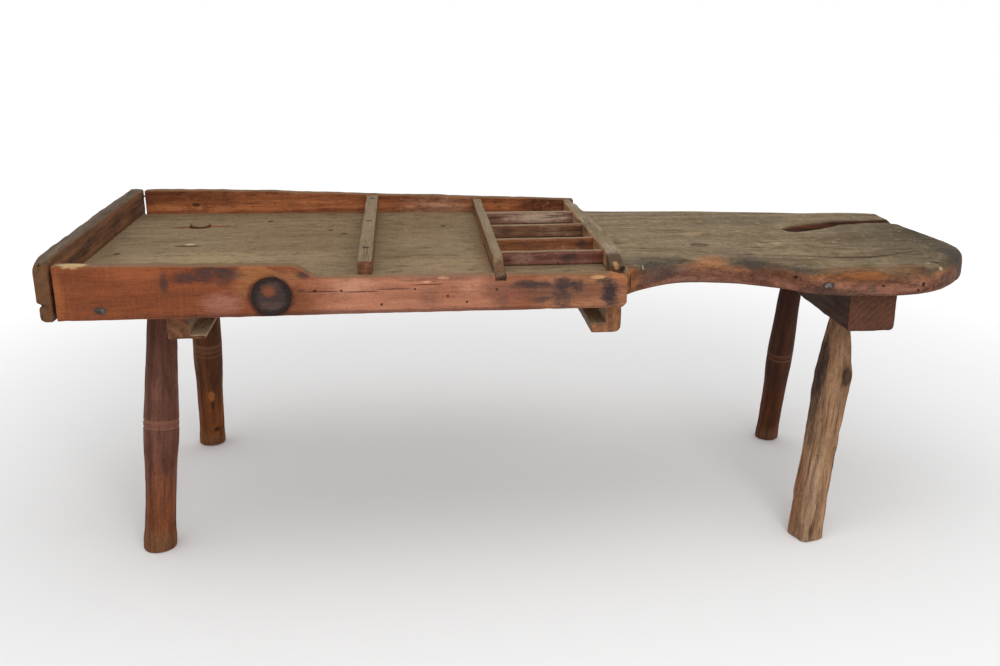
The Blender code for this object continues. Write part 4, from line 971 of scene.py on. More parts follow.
# The end board
# A board nailed across the tray's left end, a little out of square. Its top is worn round, a groove runs
# along its outer face, and below the groove it is thinner and rounded off.

END_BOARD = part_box("end_board")
END_LENGTH = END_BOARD[1].y - END_BOARD[0].y
END_LEFT = END_BOARD[0].x - TRAY.x
END_OUTER = ((0.0, END_LEFT), (0.6 * END_LENGTH, END_LEFT - 0.001), (END_LENGTH, END_LEFT + 0.002))
END_TOP_ROUND = 0.0055
END_TOP_PROUD = 0.0018         # how far the top swells above the solid board's
END_WAVES = 0.0009             # height of its unevenness
END_BRUISE = (0.035, 0.0055)   # the front end of its top is knocked down: over this length, by this much
GROOVE_LEVEL = TOP - 0.0195
GROOVE_HALF = 0.0035
GROOVE_DEPTH = 0.0065
GROOVE_DIRT = 0.004            # dirt lies this far out of the groove
LOWER_INSET = 0.0028
CROSS_GRAIN = (0.0, 0.0, math.pi / 2)  # turns a finish, so that its grain runs across the bench


def crosswise(s, a, b):
    """Across the bench: a is the distance from the tray's left end."""
    return at(a, s, b)


def end_board_section(s):
    bruised = max(0.0, 1 - s / END_BRUISE[0]) ** 2
    low, high = END_BOARD[0].z, END_BOARD[1].z + END_TOP_PROUD + END_WAVES * uneven((0.0, s, 3.0), 0.05)
    high -= END_BRUISE[1] * bruised
    outer, inner_face = along(END_OUTER, s), -END_SKEW * (1 - s / END_LENGTH)
    groove = Vector((outer + GROOVE_DEPTH, GROOVE_LEVEL))
    corners = ((inner_face, low), (inner_face, high), (outer, high), (outer, GROOVE_LEVEL + GROOVE_HALF),
               groove, (outer + LOWER_INSET, GROOVE_LEVEL - GROOVE_HALF), (outer + LOWER_INSET, low))
    rubbed = END_TOP_ROUND * (1 + bruised + 0.25 * uneven((0.0, s, 1.0), 0.06, 2))
    radii = (0.003, rubbed * 0.8, rubbed, 0.0022, 0.0014, 0.0030, 0.0085)
    ring = worn_section(corners, radii, (10, 4, 8, 3, 3, 4, 4))
    return [(spot, worn, max(0.0, 1 - (spot - groove).length / GROOVE_DIRT)) for spot, worn, _ in ring]


end_board = loft_piece("end_board_plank", stations(0.0, END_LENGTH, BOARD_SPACING), end_board_section,
                       crosswise, end_round=0.0012, rough=0.0007)
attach(end_board, "root")
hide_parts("end_board")
finish = WoodFinish("end_board_wood", (66, 41, 25), (120, 82, 52), turn=CROSS_GRAIN, heart=(0.0, 0.08, 0.10))
finish.aged(Grime=((58, 38, 25), 0.5), Rubbed=((128, 92, 60), 0.4), Dust=((106, 84, 58), 0.4))
finish.tint(finish.facing("X", 0.5, 0.9), ((86, 55, 38), (152, 102, 70)), 0.65)
for y, z, length, height in ((0.10, 0.016, 0.050, 0.008), (0.20, 0.022, 0.070, 0.009),
                             (0.34, 0.018, 0.060, 0.012), (0.45, 0.012, 0.050, 0.012)):
    finish.stain((y, 0, z), (length, 0.02, height), (58, 44, 42), 0.5, 2.0, 0.8)
finish.blotches((110, 1, 16), 0.50, 0.70, (132, 100, 78), 0.3)
finish.blotches((140, 1, 60), 0.50, 0.70, (54, 38, 31), 0.4)
finish.tint(finish.facing("Z", 0.55, 0.85), ((66, 55, 43), (112, 98, 79)), 0.75)
finish.blotches((26, 60, 60), 0.53, 0.70, (52, 38, 32), 0.5)
finish.stain((0.0, 0.012, -0.01), (0.05, 0.03, 0.06), (96, 62, 40), 0.5, 1.2, 0.8)
finish.done(end_board)


# The boards that divide the tray
# A stout cross divider nailed down from above; a narrower divider whose tail lies in the front rail's notch;
# a worn strip with a waney edge that closes the tray; and four thin partitions let in between the last two.

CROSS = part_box("cross_divider")
CROSS_HEIGHTS = ((0.0, 0.0255), (0.5, 0.0305))
TAIL_FRONT = 0.0004            # the tail ends just behind the front rail's outer face
TAIL_HEIGHT = 0.0062
TAIL_STEP = 0.0002             # the tail ends over twice this length
TAILED_HEIGHTS = ((PLANK_FRONT, 0.0065), (PLANK_FRONT + 0.012, 0.0125),
                  (PLANK_FRONT + 0.028, 0.0220), (0.5, 0.0226))
WALL_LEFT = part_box("tray_end_wall")[0].x - TRAY.x
WALL_OUTER = ((0.02, TRAY_LENGTH), (0.10, TRAY_LENGTH + 0.0030), (0.24, TRAY_LENGTH + 0.0030),
              (0.36, TRAY_LENGTH - 0.0015), (0.47, TRAY_LENGTH - 0.0065))
WALL_HEIGHTS = ((0.0, 0.010), (0.028, 0.0125), (0.045, 0.0205), (0.075, 0.024), (0.47, 0.0205))
WANE = 0.0022
CROSS_SPACING = 0.0035
CROSS_WAVES = 0.0007           # height of the unevenness of the boards' tops
FRONT_END = (-0.4, -0.85)      # between these a surface turns to the front, or on the end wall to the left


def cross_board(name, left, outer, front, heights, waney=0.0, tail=None):
    """A board that stands on the plank across the tray; its right side follows the line outer."""
    length = back_edge((left + outer[-1][1]) / 2) - FIT_GAP
    tail_end = [] if tail is None else [PLANK_FRONT - TAIL_STEP, PLANK_FRONT + TAIL_STEP]

    def section(s):
        top = TOP + along(heights, s) + CROSS_WAVES * uneven((left * 7, s, 0.0), 0.04)
        if tail is not None and s < PLANK_FRONT:
            top = TOP + tail
        wane = uneven((5.0, s, 0.0), 0.03) + 0.5 * uneven((9.0, s, 0.0), 0.010, 2)
        right = along(outer, s) + waney * wane
        wear = (LEAST_EDGE, LEAST_EDGE, worn_edge(EDGE * 1.4 + waney, left, s, 6.0),
                worn_edge(EDGE * 1.2, left, s, 9.0))
        return worn_section(rectangle(left, TOP + FIT_GAP, right, top), wear, (4, 5, 4, 5))

    stops = sorted([front, *stations(front + 0.001, length, CROSS_SPACING), *tail_end])
    return loft_piece(name, stops, section, crosswise)


cross_divider = cross_board("cross_divider_board", CROSS[0].x - TRAY.x, ((0.0, CROSS[1].x - TRAY.x),),
                            PLANK_FRONT, CROSS_HEIGHTS)
compartment_divider = cross_board("compartment_divider_board", NOTCH[0], ((0.0, NOTCH[1]),), TAIL_FRONT,
                                  TAILED_HEIGHTS, tail=TAIL_HEIGHT)
end_wall = cross_board("tray_end_wall_board", WALL_LEFT, WALL_OUTER, PLANK_FRONT, WALL_HEIGHTS, waney=WANE)
cross_nails = [bench_box(f"cross_divider_nail_{number}") for number in (1, 2, 3)]
CROSS_MARKS = (                # a grey top with a darker front, and dark wood round the nails
    ((0.09, -0.335, 0.027), (0.06, 0.03, 0.012), (108, 102, 95), 0.55, 1.2, 0.8),
    ((0.047, -0.335, 0.027), (0.022, 0.03, 0.010), (84, 70, 68), 0.55, 1.4, 0.8),
    *((((low.y + high.y) / 2, -(low.x + high.x) / 2, 0.028), (0.0068, 0.0060, 0.02), (44, 36, 32), 0.9, 0.3)
      for low, high in cross_nails))
# The tail's reddish sloping end, and at its tip a dark patch that is painted shadow in the rail's notch
TAIL_MARKS = (((0.022, -0.588, 0.008), (0.034, 0.03, 0.020), (104, 70, 52), 0.8, 0.9, 0.5),
              ((0.002, -0.588, 0.000), (0.010, 0.010, 0.008), (50, 36, 30), 0.85, 1.0))
WALL_MARKS = (                 # the broken front end: dark, with a bare chip and a deep gap
    ((0.036, -0.748, 0.012), (0.026, 0.02, 0.020), (74, 54, 40), 0.85, 1.2),
    ((0.026, -0.746, 0.011), (0.012, 0.005, 0.006), (172, 128, 82), 0.85, 1.4),
    ((0.023, -0.754, 0.006), (0.012, 0.004, 0.005), (30, 22, 18), 0.85, 1.0))
for piece, replaced, warmth, marks in ((cross_divider, "cross_divider", 0.7, CROSS_MARKS),
                                       (compartment_divider, "compartment_divider", 0.85, TAIL_MARKS),
                                       (end_wall, "tray_end_wall", 0.9, WALL_MARKS)):
    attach(piece, "root")
    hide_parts(replaced)
    finish = WoodFinish(f"{replaced}_wood", (98, 75, 51), (146, 120, 86), turn=CROSS_GRAIN,
                        heart=(0.0, -0.7, -0.05), ring_gap=0.006)
    finish.tint(finish.facing("Z", 0.75, 0.35), ((94, 62, 40), (148, 102, 66)), warmth)
    finish.aged(Grime=((78, 58, 40), 0.5), Rubbed=((154, 118, 80), 0.35), Dust=((134, 117, 90), 0.6))
    finish.tint(finish.facing("Y", *FRONT_END), ((82, 50, 38), (134, 86, 62)), 0.9)
    if piece is end_wall:
        # The inner face, towards the tray, is painted lighter: painted light where the compartments' shade
        # falls on it
        finish.tint(finish.facing("X", *FRONT_END), ((136, 92, 62), (204, 156, 116)), 0.8)
        finish.blotches((24, 60, 60), 0.54, 0.68, (80, 68, 55), 0.45)
        finish.blotches((20, 60, 60), 0.47, 0.66, (168, 156, 134), 0.5)
    finish.stains(marks)
    finish.done(piece)

PARTITION_LOOKS = (            # the wood's dark and light tones, and stains: along, half length, colour
    ((86, 50, 44), (142, 94, 80), ((0.690, 0.020, INK), (0.728, 0.016, (106, 62, 42)),
                                   (0.622, 0.024, (150, 118, 100)))),
    ((106, 62, 38), (156, 102, 66), ((0.719, 0.012, INK), (0.640, 0.020, (112, 72, 52)))),
    ((100, 66, 46), (142, 104, 78), ((0.690, 0.018, (140, 108, 84)), (0.615, 0.016, (78, 52, 40)))),
    ((122, 88, 72), (178, 142, 120), ((0.680, 0.070, (200, 176, 154)), (0.605, 0.018, (116, 72, 58)))))
PARTITION_WAVES = 0.0005
PARTITION_ROUNDS = (LEAST_EDGE, LEAST_EDGE, 0.0016, 0.0018)


def partition_shape(low, high):
    """The section of a thin board whose top is a little uneven."""
    def section(s):
        top = high.z + PARTITION_WAVES * uneven((s, low.y * 9, 0.0), 0.03)
        return worn_section(rectangle(low.y, low.z, high.y, top), PARTITION_ROUNDS, (3, 4, 3, 4), arc=3)

    return section


for number, (dark, light, stains) in enumerate(PARTITION_LOOKS, 1):
    low, high = bench_box(f"partition_{number}")
    partition = loft_piece(f"partition_board_{number}", stations(low.x, high.x, BOARD_SPACING),
                           partition_shape(low, high), at, rough=0.0003)
    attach(partition, "root")
    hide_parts(f"partition_{number}")
    finish = WoodFinish(f"partition_wood_{number}", dark, light, heart=(0.0, 0.1 * number, -0.06),
                        ring_gap=0.006)
    finish.aged(Grime=((70, 46, 38), 0.3))
    finish.blotches((45, 1, 90), 0.52, 0.68, (58, 36, 31), 0.45)
    finish.blotches((80, 1, 130), 0.54, 0.70, (186, 150, 126), 0.4)
    for x, length, colour in stains:
        finish.stain((x, low.y, 0.010), (length, 0.03, 0.010), colour, 0.7, 2.0, 0.7)
    finish.aged(Rubbed=((148, 110, 84), 0.3), Dust=((140, 120, 92), 0.85))
    finish.done(partition)


# The drawer runners
# Two rebated battens nailed up under the tray. Their ledges once carried the sides of a drawer.

# For each: its section, in which a height of 1 is the plank's underside, the roundings, the front end's
# colours, and how much the ledge's upward faces are paled: bare wood where the drawer ran, and painted light
# where shade falls under the tray
RUNNERS = {
    "left": (((0.0, 0.0), (0.051, 0.0), (0.051, 0.0045), (0.030, 0.0045), (0.030, 1.0), (0.0, 1.0)),
             (0.003, 0.0018, 0.0014, 0.0011, 0.0011, 0.0011), ((58, 32, 20), (130, 80, 51)), 0.85),
    "right": (((0.0, 0.0), (0.043, 0.0), (0.043, 1.0), (0.021, 1.0), (0.021, 0.0135), (0.0, 0.0135)),
              (0.003, 0.011, 0.0011, 0.0011, 0.0011, 0.002), ((76, 44, 28), (166, 110, 76)), 0.35)}
for hand, (shape, rounds, front_colours, ledge_wear_and_light) in RUNNERS.items():
    low, high = bench_box(f"{hand}_drawer_runner")
    corners = [(low.x + x, high.z if z == 1.0 else low.z + z) for x, z in shape]
    runner_section = worn_section(corners, rounds, (6, 3, 3, 5, 5, 6))
    runner = loft_piece(f"{hand}_runner_batten", stations(low.y, high.y, BOARD_SPACING),
                        lambda s: runner_section, crosswise, rough=0.0006)
    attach(runner, "root")
    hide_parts(f"{hand}_drawer_runner")
    finish = WoodFinish(f"{hand}_runner_wood", (106, 82, 65), (166, 134, 106), turn=CROSS_GRAIN,
                        heart=(0.0, -0.1, -0.12), ring_gap=0.007)
    finish.aged(Grime=((70, 50, 38), 0.5))
    finish.tint(finish.facing("Y", *FRONT_END), front_colours, 0.9)
    finish.aged(Rubbed=((142, 98, 66), 0.25))
    # Pales the ledge's upward faces: bare wood where the drawer ran, and painted light where the tray's shade
    # falls
    finish.tint(finish.facing("Z", 0.5, 0.8), (214, 194, 162), ledge_wear_and_light)
    finish.done(runner)


# The seat cleat
# A thick batten nailed across the underside of the seat, bored for the two seat legs. Its front end shows
# end grain.

CLEAT = bench_box("seat_cleat")
CLEAT_ROUNDS = (0.0040, 0.0075, 0.0040, 0.0040)


def cleat_section(s):
    low, high = CLEAT
    wear = [worn_edge(size, s, k * 2.0, 1.0) for k, size in enumerate(CLEAT_ROUNDS)]
    return worn_section(rectangle(low.x, low.z, high.x, high.z), wear, (10, 9, 10, 9))


cleat = loft_piece("seat_cleat_batten", stations(CLEAT[0].y, CLEAT[1].y, BOARD_SPACING), cleat_section,
                   crosswise, end_round=0.0011, rough=0.0006)
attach(cleat, "root")
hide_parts("seat_cleat")
# Its dark colours are partly the wood's own and partly painted shade, for where it lies under the seat
finish = WoodFinish("seat_cleat_wood", (44, 25, 14), (74, 44, 26), turn=CROSS_GRAIN,
                    heart=(0.0, -1.25, -0.20), ring_gap=0.004, wander=0.004)
finish.tint(finish.facing("Y", *FRONT_END), ((64, 38, 29), (98, 62, 49)), 0.9)
finish.aged(Grime=((52, 33, 25), 0.4), Rubbed=((108, 70, 50), 0.3))
finish.done(cleat, bump=0.3)


# The turned legs
# Three legs of dark red-brown wood, turned with a slight swelling and scored rings, driven into round holes.
# The two tray legs come up through the plank and show their end grain in the tray's floor.

FEET = {mount["name"]: Vector(mount["pos_m"]) for mount in frame["record"]["mounts"]}
LEG_SIDES = 56
LEG_SPACING = 0.0032
LEG_WAVES = 0.0006             # height of the turned legs' unevenness
RING_PITCH = 0.0095
RING_GROOVE = 0.0014
RING_HALF = 0.0018
RING_STEP = 0.0006             # between the mesh's sections at a ring
TENON_PROUD = {"front_tray_leg": 0.0012, "back_tray_leg": 0.0045}
TENON_BLIND = 0.012            # how far a seat leg goes up into the cleat
SOLE_EASE = 0.03               # over this height the level sole passes into the leaning leg
LEG_DARK = (44, 26, 17)
# For each: its foot and entry, radii of foot, shaft, ring, neck and tenon, how many rings and their height,
# and its dark, light and warm colour
TURNED = {
    "front_tray_leg": ("front_tray_foot", at(0.110, 0.133, TOP), (0.0240, 0.0222, 0.0252, 0.0195, 0.0165),
                       2, 0.188, (80, 49, 40), (128, 82, 67), (154, 92, 58)),
    "back_tray_leg": ("back_tray_foot", at(0.1185, 0.391, TOP), (0.0228, 0.0222, 0.0250, 0.0210, 0.0165),
                      3, 0.194, (68, 38, 21), (112, 66, 38), (158, 94, 54)),
    # The back seat leg's darker colours are partly the wood's own and partly painted shade, for where it
    # stands under the seat
    "back_seat_leg": ("back_seat_foot", at(CLEAT[0].x + 0.022, CLEAT[1].y - 0.060, CLEAT[0].z),
                      (0.0205, 0.0194, 0.0219, 0.0175, 0.0130), 2, 0.177,
                      (50, 26, 17), (82, 47, 32), (112, 64, 37))}
RING_STRENGTH = {"front_tray_leg": 0.6, "back_tray_leg": 0.4, "back_seat_leg": 0.4}
LEG_MARKS = {"back_tray_leg": (        # a pale bruise and two small dark knots
    ((0.105, -0.022, -0.006), (0.014, 0.02, 0.007), (166, 100, 56), 0.7, 1.2, 0.6),
    ((0.088, -0.022, -0.007), (0.012, 0.02, 0.003), LEG_DARK, 0.8, 1.0, 0.5),
    ((0.037, -0.019, -0.012), (0.006, 0.02, 0.006), LEG_DARK, 0.85, 1.0, 0.5))}


def leg_axes(foot, entry):
    """The leg's own directions: right, back, and up along the leg."""
    up = (entry - foot).normalized()
    turn = Vector((0.0, 0.0, 1.0)).rotation_difference(up)
    return turn @ Vector((1.0, 0.0, 0.0)), turn @ Vector((0.0, 1.0, 0.0)), up


def leg_place(foot, entry):
    """Places the points of a leg whose sole is sawn level."""
    right, back, up = leg_axes(foot, entry)

    def place(s, a, b):
        sole = max(0.0, 1 - s / SOLE_EASE) * (a * right.z + b * back.z) / up.z
        return foot + right * a + back * b + up * (s - sole)

    return place


def leg_grain(foot, entry):
    """How a leg's wood lies: its grain runs up along the leg."""
    right, back, up = leg_axes(foot, entry)
    return {"origin": foot, "turn": Matrix((up, back, -right)).transposed().to_euler(), "wander": 0.006}


def turned_leg(name, foot, entry, outline, grooves):
    """A turned leg of the given outline (height and radius), with scored rings."""
    top = outline[-1][0]
    curve = smooth_path(outline, outline[0], outline[-1])
    fine = [level + k * RING_STEP for level in grooves for k in range(-4, 5)]

    def section(s):
        scored = RING_GROOVE * sum(max(0.0, 1 - abs(s - level) / RING_HALF) for level in grooves)
        radius = along(curve, s) - scored
        ring = []
        for k in range(LEG_SIDES):
            way = Vector((math.cos(math.tau * k / LEG_SIDES), math.sin(math.tau * k / LEG_SIDES)))
            bruise = LEG_WAVES * uneven((way.x * 0.02, way.y * 0.02, s * 0.4 + foot.x), 0.02)
            ring.append((way * (radius + bruise), scored / RING_GROOVE * 0.5, 0.0))
        return ring

    stops = sorted([0.0, *stations(0.003, top, LEG_SPACING), *fine])
    return loft_piece(name, stops, section, leg_place(foot, entry), end_round=0.0018, rough=0.0003)


for name, (mount, entry, radii, rings, ring_height, dark, light, warm) in TURNED.items():
    foot = FEET[mount]
    length = (entry - foot).length
    through = name in TENON_PROUD
    shoulder = length * (UNDERSIDE - 0.008) / TOP if through else length - 0.006
    top = length + (TENON_PROUD[name] if through else TENON_BLIND)
    foot_radius, shaft, ring_radius, neck, tenon = radii
    outline = ((0.0, foot_radius), (0.014, foot_radius), (0.04, shaft), (ring_height * 0.6, shaft * 1.01),
               (ring_height - 0.03, ring_radius * 0.985), (ring_height, ring_radius),
               (ring_height + 0.02, ring_radius * 0.985),
               ((ring_height + shoulder) / 2, (ring_radius + neck) / 2),
               (shoulder - 0.008, neck), (shoulder + 0.006, tenon), (top, tenon))
    grooves = [ring_height + RING_PITCH * (k - (rings - 1) / 2) for k in range(rings)]
    leg = turned_leg(f"{name}_turned", foot, entry, outline, grooves)
    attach(leg, "root")
    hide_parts(name)
    finish = WoodFinish(f"{name}_wood", dark, light, heart=(0.0, 0.02, 0.015), ring_gap=0.005,
                        **leg_grain(foot, entry))
    finish.stain((0.02, 0.0, 0.0), (0.15, 0.09, 0.09), (dark, warm), 0.75, 0.7, 0.8)
    low_down = finish.patch((0.02, 0.0, 0.0), (0.18, 0.09, 0.09), 0.7, 0.8)
    finish.tint(low_down, (252, 236, 204), 1.0, "MULTIPLY")
    finish.aged(Grime=((54, 35, 28), 0.45), Rubbed=(warm, 0.35))
    for order, level in enumerate(grooves):
        rubbed = (0.0018 + 0.0008 * order, 0.2, 0.2)
        finish.stain((level, 0, 0), rubbed, (150, 106, 78), RING_STRENGTH[name], 0.0)
    finish.stain((0.010, -0.02, 0.0), (0.03, 0.03, 0.05), (146, 112, 80), 0.25, 1.2, 0.9)
    finish.stains(LEG_MARKS.get(name, ()))
    finish.stain((sum(grooves) / rings + 0.001, 0, 0), (0.007, 0.2, 0.2), light, 0.5, 0.0, 0.8)
    finish.aged(Dust=((124, 106, 79), 0.85))
    finish.done(leg, shakes=0.25)


# The hewn leg
# The front leg under the seat is a later one, hewn from a branch: bent, with flat sides and a knot.

foot = FEET["front_seat_foot"]
entry = at(CLEAT[0].x + 0.0195, CLEAT[0].y + 0.071, CLEAT[0].z)
HEWN_LENGTH = (entry - foot).length
HEWN_TOP = HEWN_LENGTH + TENON_BLIND
HEWN_WIDTH = ((0.0, 0.0252), (0.06, 0.0258), (0.12, 0.0246), (0.18, 0.0256), (0.226, 0.0272), (0.25, 0.0268),
              (0.285, 0.0222), (HEWN_LENGTH - 0.008, 0.0165), (HEWN_TOP, 0.0140))
HEWN_BEND = ((0.0, -0.001), (0.06, -0.003), (0.12, -0.001), (0.19, 0.001), (0.24, 0.002), (0.29, 0.001),
             (HEWN_LENGTH, 0.0))
HEWN_FLATS = ((-2.75, 0.86), (-1.25, 0.88), (-0.2, 0.92), (0.9, 0.87), (2.2, 0.90))    # facing, radius left
HEWN_KNOT = (0.245, -1.0, 0.0030)      # height, facing, how far it stands out
HEWN_KNOT_REACH = (0.018, 0.45)        # how far it reaches up and down, and round the leg
HEWN_LUMPS = 0.0010
HEWN_RIDGES = (0.0005, 0.0011)         # height of the ridges, and what weathering adds at the foot
HEWN_SIDES = 80
HEWN_SPACING = 0.0028
WEATHERED = 0.2                # below this height the ridges get deeper
HEWN_STAINS = (                # brown flanks and a grey streak low down
    ((0.07, -0.006, 0.029), (0.14, 0.03, 0.010), ((100, 62, 43), (156, 106, 78)), 0.8, 1.2, 0.6),
    ((0.05, -0.022, 0.010), (0.12, 0.02, 0.013), ((98, 76, 60), (206, 172, 140)), 0.6, 1.2, 0.6),
    ((0.12, 0.0, -0.026), (0.17, 0.03, 0.013), ((114, 72, 51), (174, 118, 88)), 0.85, 1.2, 0.6))
BARK_STAINS = (                # dark bark higher up, and the knot
    ((0.215, -0.010, 0.028), (0.120, 0.026, 0.017), ((48, 36, 31), (88, 65, 52)), 0.85, 1.2, 0.6),
    ((0.270, -0.008, 0.028), (0.080, 0.024, 0.018), ((46, 36, 34), (72, 54, 47)), 0.85, 1.0, 0.4),
    ((0.300, -0.018, 0.006), (0.045, 0.02, 0.014), ((92, 62, 48), (140, 104, 84)), 0.6, 1.2, 0.7),
    ((0.245, -0.021, -0.0135), (0.030, 0.020, 0.017), ((74, 52, 37), (136, 102, 72)), 0.8, 1.0, 0.6),
    ((0.245, -0.021, -0.0135), (0.017, 0.014, 0.0105), ((36, 27, 22), (84, 62, 46)), 0.9, 0.9, 0.4))


def hewn_section(s):
    radius = along(HEWN_WIDTH, s)
    low_down = max(0.0, 1 - s / WEATHERED)
    ring = []
    for k in range(HEWN_SIDES):
        angle = math.tau * k / HEWN_SIDES
        way = Vector((math.cos(angle), math.sin(angle)))
        flat = min(1.0, *(left / max(0.3, math.cos(angle - facing)) for facing, left in HEWN_FLATS))
        ridge = uneven((way.x * 0.03, way.y * 0.03, s * 0.07), 0.006, 3)
        lump = HEWN_LUMPS * uneven((way.x * 0.03, way.y * 0.03, s), 0.03)
        aside = (angle - HEWN_KNOT[1] + math.pi) % math.tau - math.pi
        knot = HEWN_KNOT[2] * math.exp(-((s - HEWN_KNOT[0]) / HEWN_KNOT_REACH[0]) ** 2
                                       - (aside / HEWN_KNOT_REACH[1]) ** 2)
        reach = radius * flat + ridge * (HEWN_RIDGES[0] + HEWN_RIDGES[1] * low_down) + lump + knot
        spot = way * reach + Vector((along(HEWN_BEND, s), 0.0))
        ring.append((spot, max(0.0, ridge), max(0.0, -ridge - 0.35 + 0.12 * low_down) * 0.9))
    return ring


hewn_leg = loft_piece("front_seat_leg_hewn", stations(0.0, HEWN_TOP, HEWN_SPACING), hewn_section,
                      leg_place(foot, entry), end_round=0.002, rough=0.0004)
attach(hewn_leg, "root")
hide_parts("front_seat_leg")
finish = WoodFinish("front_seat_leg_wood", (108, 77, 55), (190, 150, 114), heart=ORIGIN, ring_gap=0.006,
                    figure=0.2, **leg_grain(foot, entry))
finish.stains(HEWN_STAINS)
finish.aged(Grime=((98, 70, 48), 0.4))
finish.stains(BARK_STAINS)
finish.aged(Rubbed=((172, 134, 96), 0.3))
finish.done(hewn_leg)


# The nails
# Old cut nails hold the boards: small dark heads sunk in the front rail and the divider, and two large
# beaten grey heads, one near the rail's left end and one in the seat's front edge.

DOWN = (0.0, 0.0, -1.0)
NAIL_WAYS = {"front_rail_nail": (0.0, -1.0, 0.0), "back_rail_nail": (-math.sin(SLANT), math.cos(SLANT), 0.0),
             "end_board_nail": (-1.0, 0.0, 0.0), "cross_divider_nail": (0.0, 0.0, 1.0),
             "left_runner_nail": DOWN, "right_runner_nail": DOWN, "cleat_nail": DOWN}
LARGE_HEAD = (0.0072, 0.0040, 0.0016)  # half its width, half its height, how far it stands out
SMALL_HEAD = (0.0017, 0.0016, 0.0009)
PLAIN_HEAD = (0.0036, 0.0031, 0.0014)
HEAD_SINK = 0.0008
nail_nodes = sorted(n for n in frame["nodes"] if "nail" in n)
nail_points = []
nail_marks = {"way": [], "head": [], "shank": [], "rust": []}
for n in nail_nodes:
    low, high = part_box(n)
    middle, half = (low + high) / 2, (high - low) / 2
    if n == "seat_edge_nail":
        way = Vector((tilt(front_y, middle.x - TRAY.x), -1.0, 0.0)).normalized()
    else:
        way = Vector(NAIL_WAYS[n.rsplit("_", 1)[0]])
    head, rust = PLAIN_HEAD, 0.38
    if n == "seat_edge_nail":
        head = LARGE_HEAD
    elif n == "front_rail_nail_1":
        head, rust = LARGE_HEAD, 0.52
    elif n.startswith(("front_rail", "cross_divider")):
        head, rust = SMALL_HEAD, 1.0
    nail_points.append(middle + Vector(w * h for w, h in zip(way, half)) - way * HEAD_SINK)
    nail_marks["way"].extend(way)
    nail_marks["head"].extend(head)
    nail_marks["shank"].append(2 * half.dot(Vector(abs(w) for w in way)))
    nail_marks["rust"].append(rust)
nail_mesh = bpy.data.meshes.new("nails")
nail_mesh.from_pydata([tuple(p) for p in nail_points], [], [])
for label, kind, field in (("way", "FLOAT_VECTOR", "vector"), ("head", "FLOAT_VECTOR", "vector"),
                           ("shank", "FLOAT", "value"), ("rust", "FLOAT", "value")):
    nail_mesh.attributes.new(label, kind, "POINT").data.foreach_set(field, nail_marks[label])
nails = bpy.data.objects.new("nails", nail_mesh)
bpy.context.collection.objects.link(nails)

iron = bpy.data.materials.new("old_iron")
iron.use_nodes = True
tree, shader = iron.node_tree, iron.node_tree.nodes["Principled BSDF"]
spot = node(tree, "TexCoord").outputs["Object"]
patchy = maths(tree, "ADD", mottle(tree, spot, (300, 300, 300), 4.0)[0],
               node(tree, "Attribute", attribute_name="rust").outputs["Fac"])
rust = spread(tree, patchy, 0.75, 1.05)
pitted = {"Strength": 0.4, "Distance": 0.0004, "Height": mottle(tree, spot, (900, 900, 900))[0]}
for label, value in (("Base Color", mixed(tree, rust, tone(112, 108, 104), tone(46, 34, 29))),
                     ("Roughness", maths(tree, "ADD", 0.45, maths(tree, "MULTIPLY", rust, 0.35))),
                     ("Metallic", maths(tree, "SUBTRACT", 0.7, maths(tree, "MULTIPLY", rust, 0.65))),
                     ("Normal", node(tree, "Bump", pitted).outputs[0])):
    tree.links.new(value, shader.inputs[label])

nail_tree = bpy.data.node_groups.new("nails", "GeometryNodeTree")
nail_tree.interface.new_socket("Geometry", in_out="INPUT", socket_type="NodeSocketGeometry")
nail_values = {}
for label, value in (("Shank Radius", 0.0015), ("Battering", 0.0012), ("Dents per Metre", 240.0)):
    socket = nail_tree.interface.new_socket(label, in_out="INPUT", socket_type="NodeSocketFloat")
    nail_values[socket.identifier] = value
nail_tree.interface.new_socket("Geometry", in_out="OUTPUT", socket_type="NodeSocketGeometry")


def forge(kind, inputs=None, family="GeometryNode", **settings):
    """Adds a node to the nails' tree and gives its first output."""
    return node(nail_tree, kind, inputs, family, **settings).outputs[0]


def nail_value(label, kind):
    """One of the values that each nail's point holds."""
    return forge("InputNamedAttribute", {"Name": label}, data_type=kind)


given = nail_tree.nodes.new("NodeGroupInput").outputs
facing = forge("AlignRotationToVector", {"Vector": nail_value("way", "FLOAT_VECTOR")}, "FunctionNode",
               axis="Z")
round_head = forge("MeshUVSphere", {"Segments": 18, "Rings": 9, "Radius": 1.0})
shank = forge("MeshCylinder", {"Vertices": 8, "Radius": given["Shank Radius"], "Depth": 1.0})
shank = forge("Transform", {"Geometry": shank, "Translation": (0.0, 0.0, -0.5)})
drawn_out = forge("CombineXYZ", {0: 1.0, 1: 1.0, 2: nail_value("shank", "FLOAT")}, "ShaderNode")
joined = nail_tree.nodes.new("GeometryNodeJoinGeometry")
for part, scale in ((round_head, nail_value("head", "FLOAT_VECTOR")), (shank, drawn_out)):
    placed = forge("InstanceOnPoints", {"Points": given["Geometry"], "Instance": part, "Rotation": facing,
                                        "Scale": scale})
    nail_tree.links.new(placed, joined.inputs[0])
real = forge("RealizeInstances", {"Geometry": joined.outputs[0]})
dent = node(nail_tree, "TexNoise", {"Scale": given["Dents per Metre"], "Detail": 1.0}).outputs["Color"]
dent = scaled(nail_tree, vectors(nail_tree, "SUBTRACT", dent, (0.5, 0.5, 0.5)), given["Battering"])
real = forge("SetPosition", {"Geometry": real, "Offset": dent})
real = forge("SetMaterial", {"Geometry": real, "Material": iron})
nail_tree.links.new(real, nail_tree.nodes.new("NodeGroupOutput").inputs[0])
hammer = nails.modifiers.new("nails", "NODES")
hammer.node_group = nail_tree
for identifier, value in nail_values.items():
    hammer[identifier] = value
driven = bpy.data.meshes.new_from_object(nails.evaluated_get(bpy.context.evaluated_depsgraph_get()))
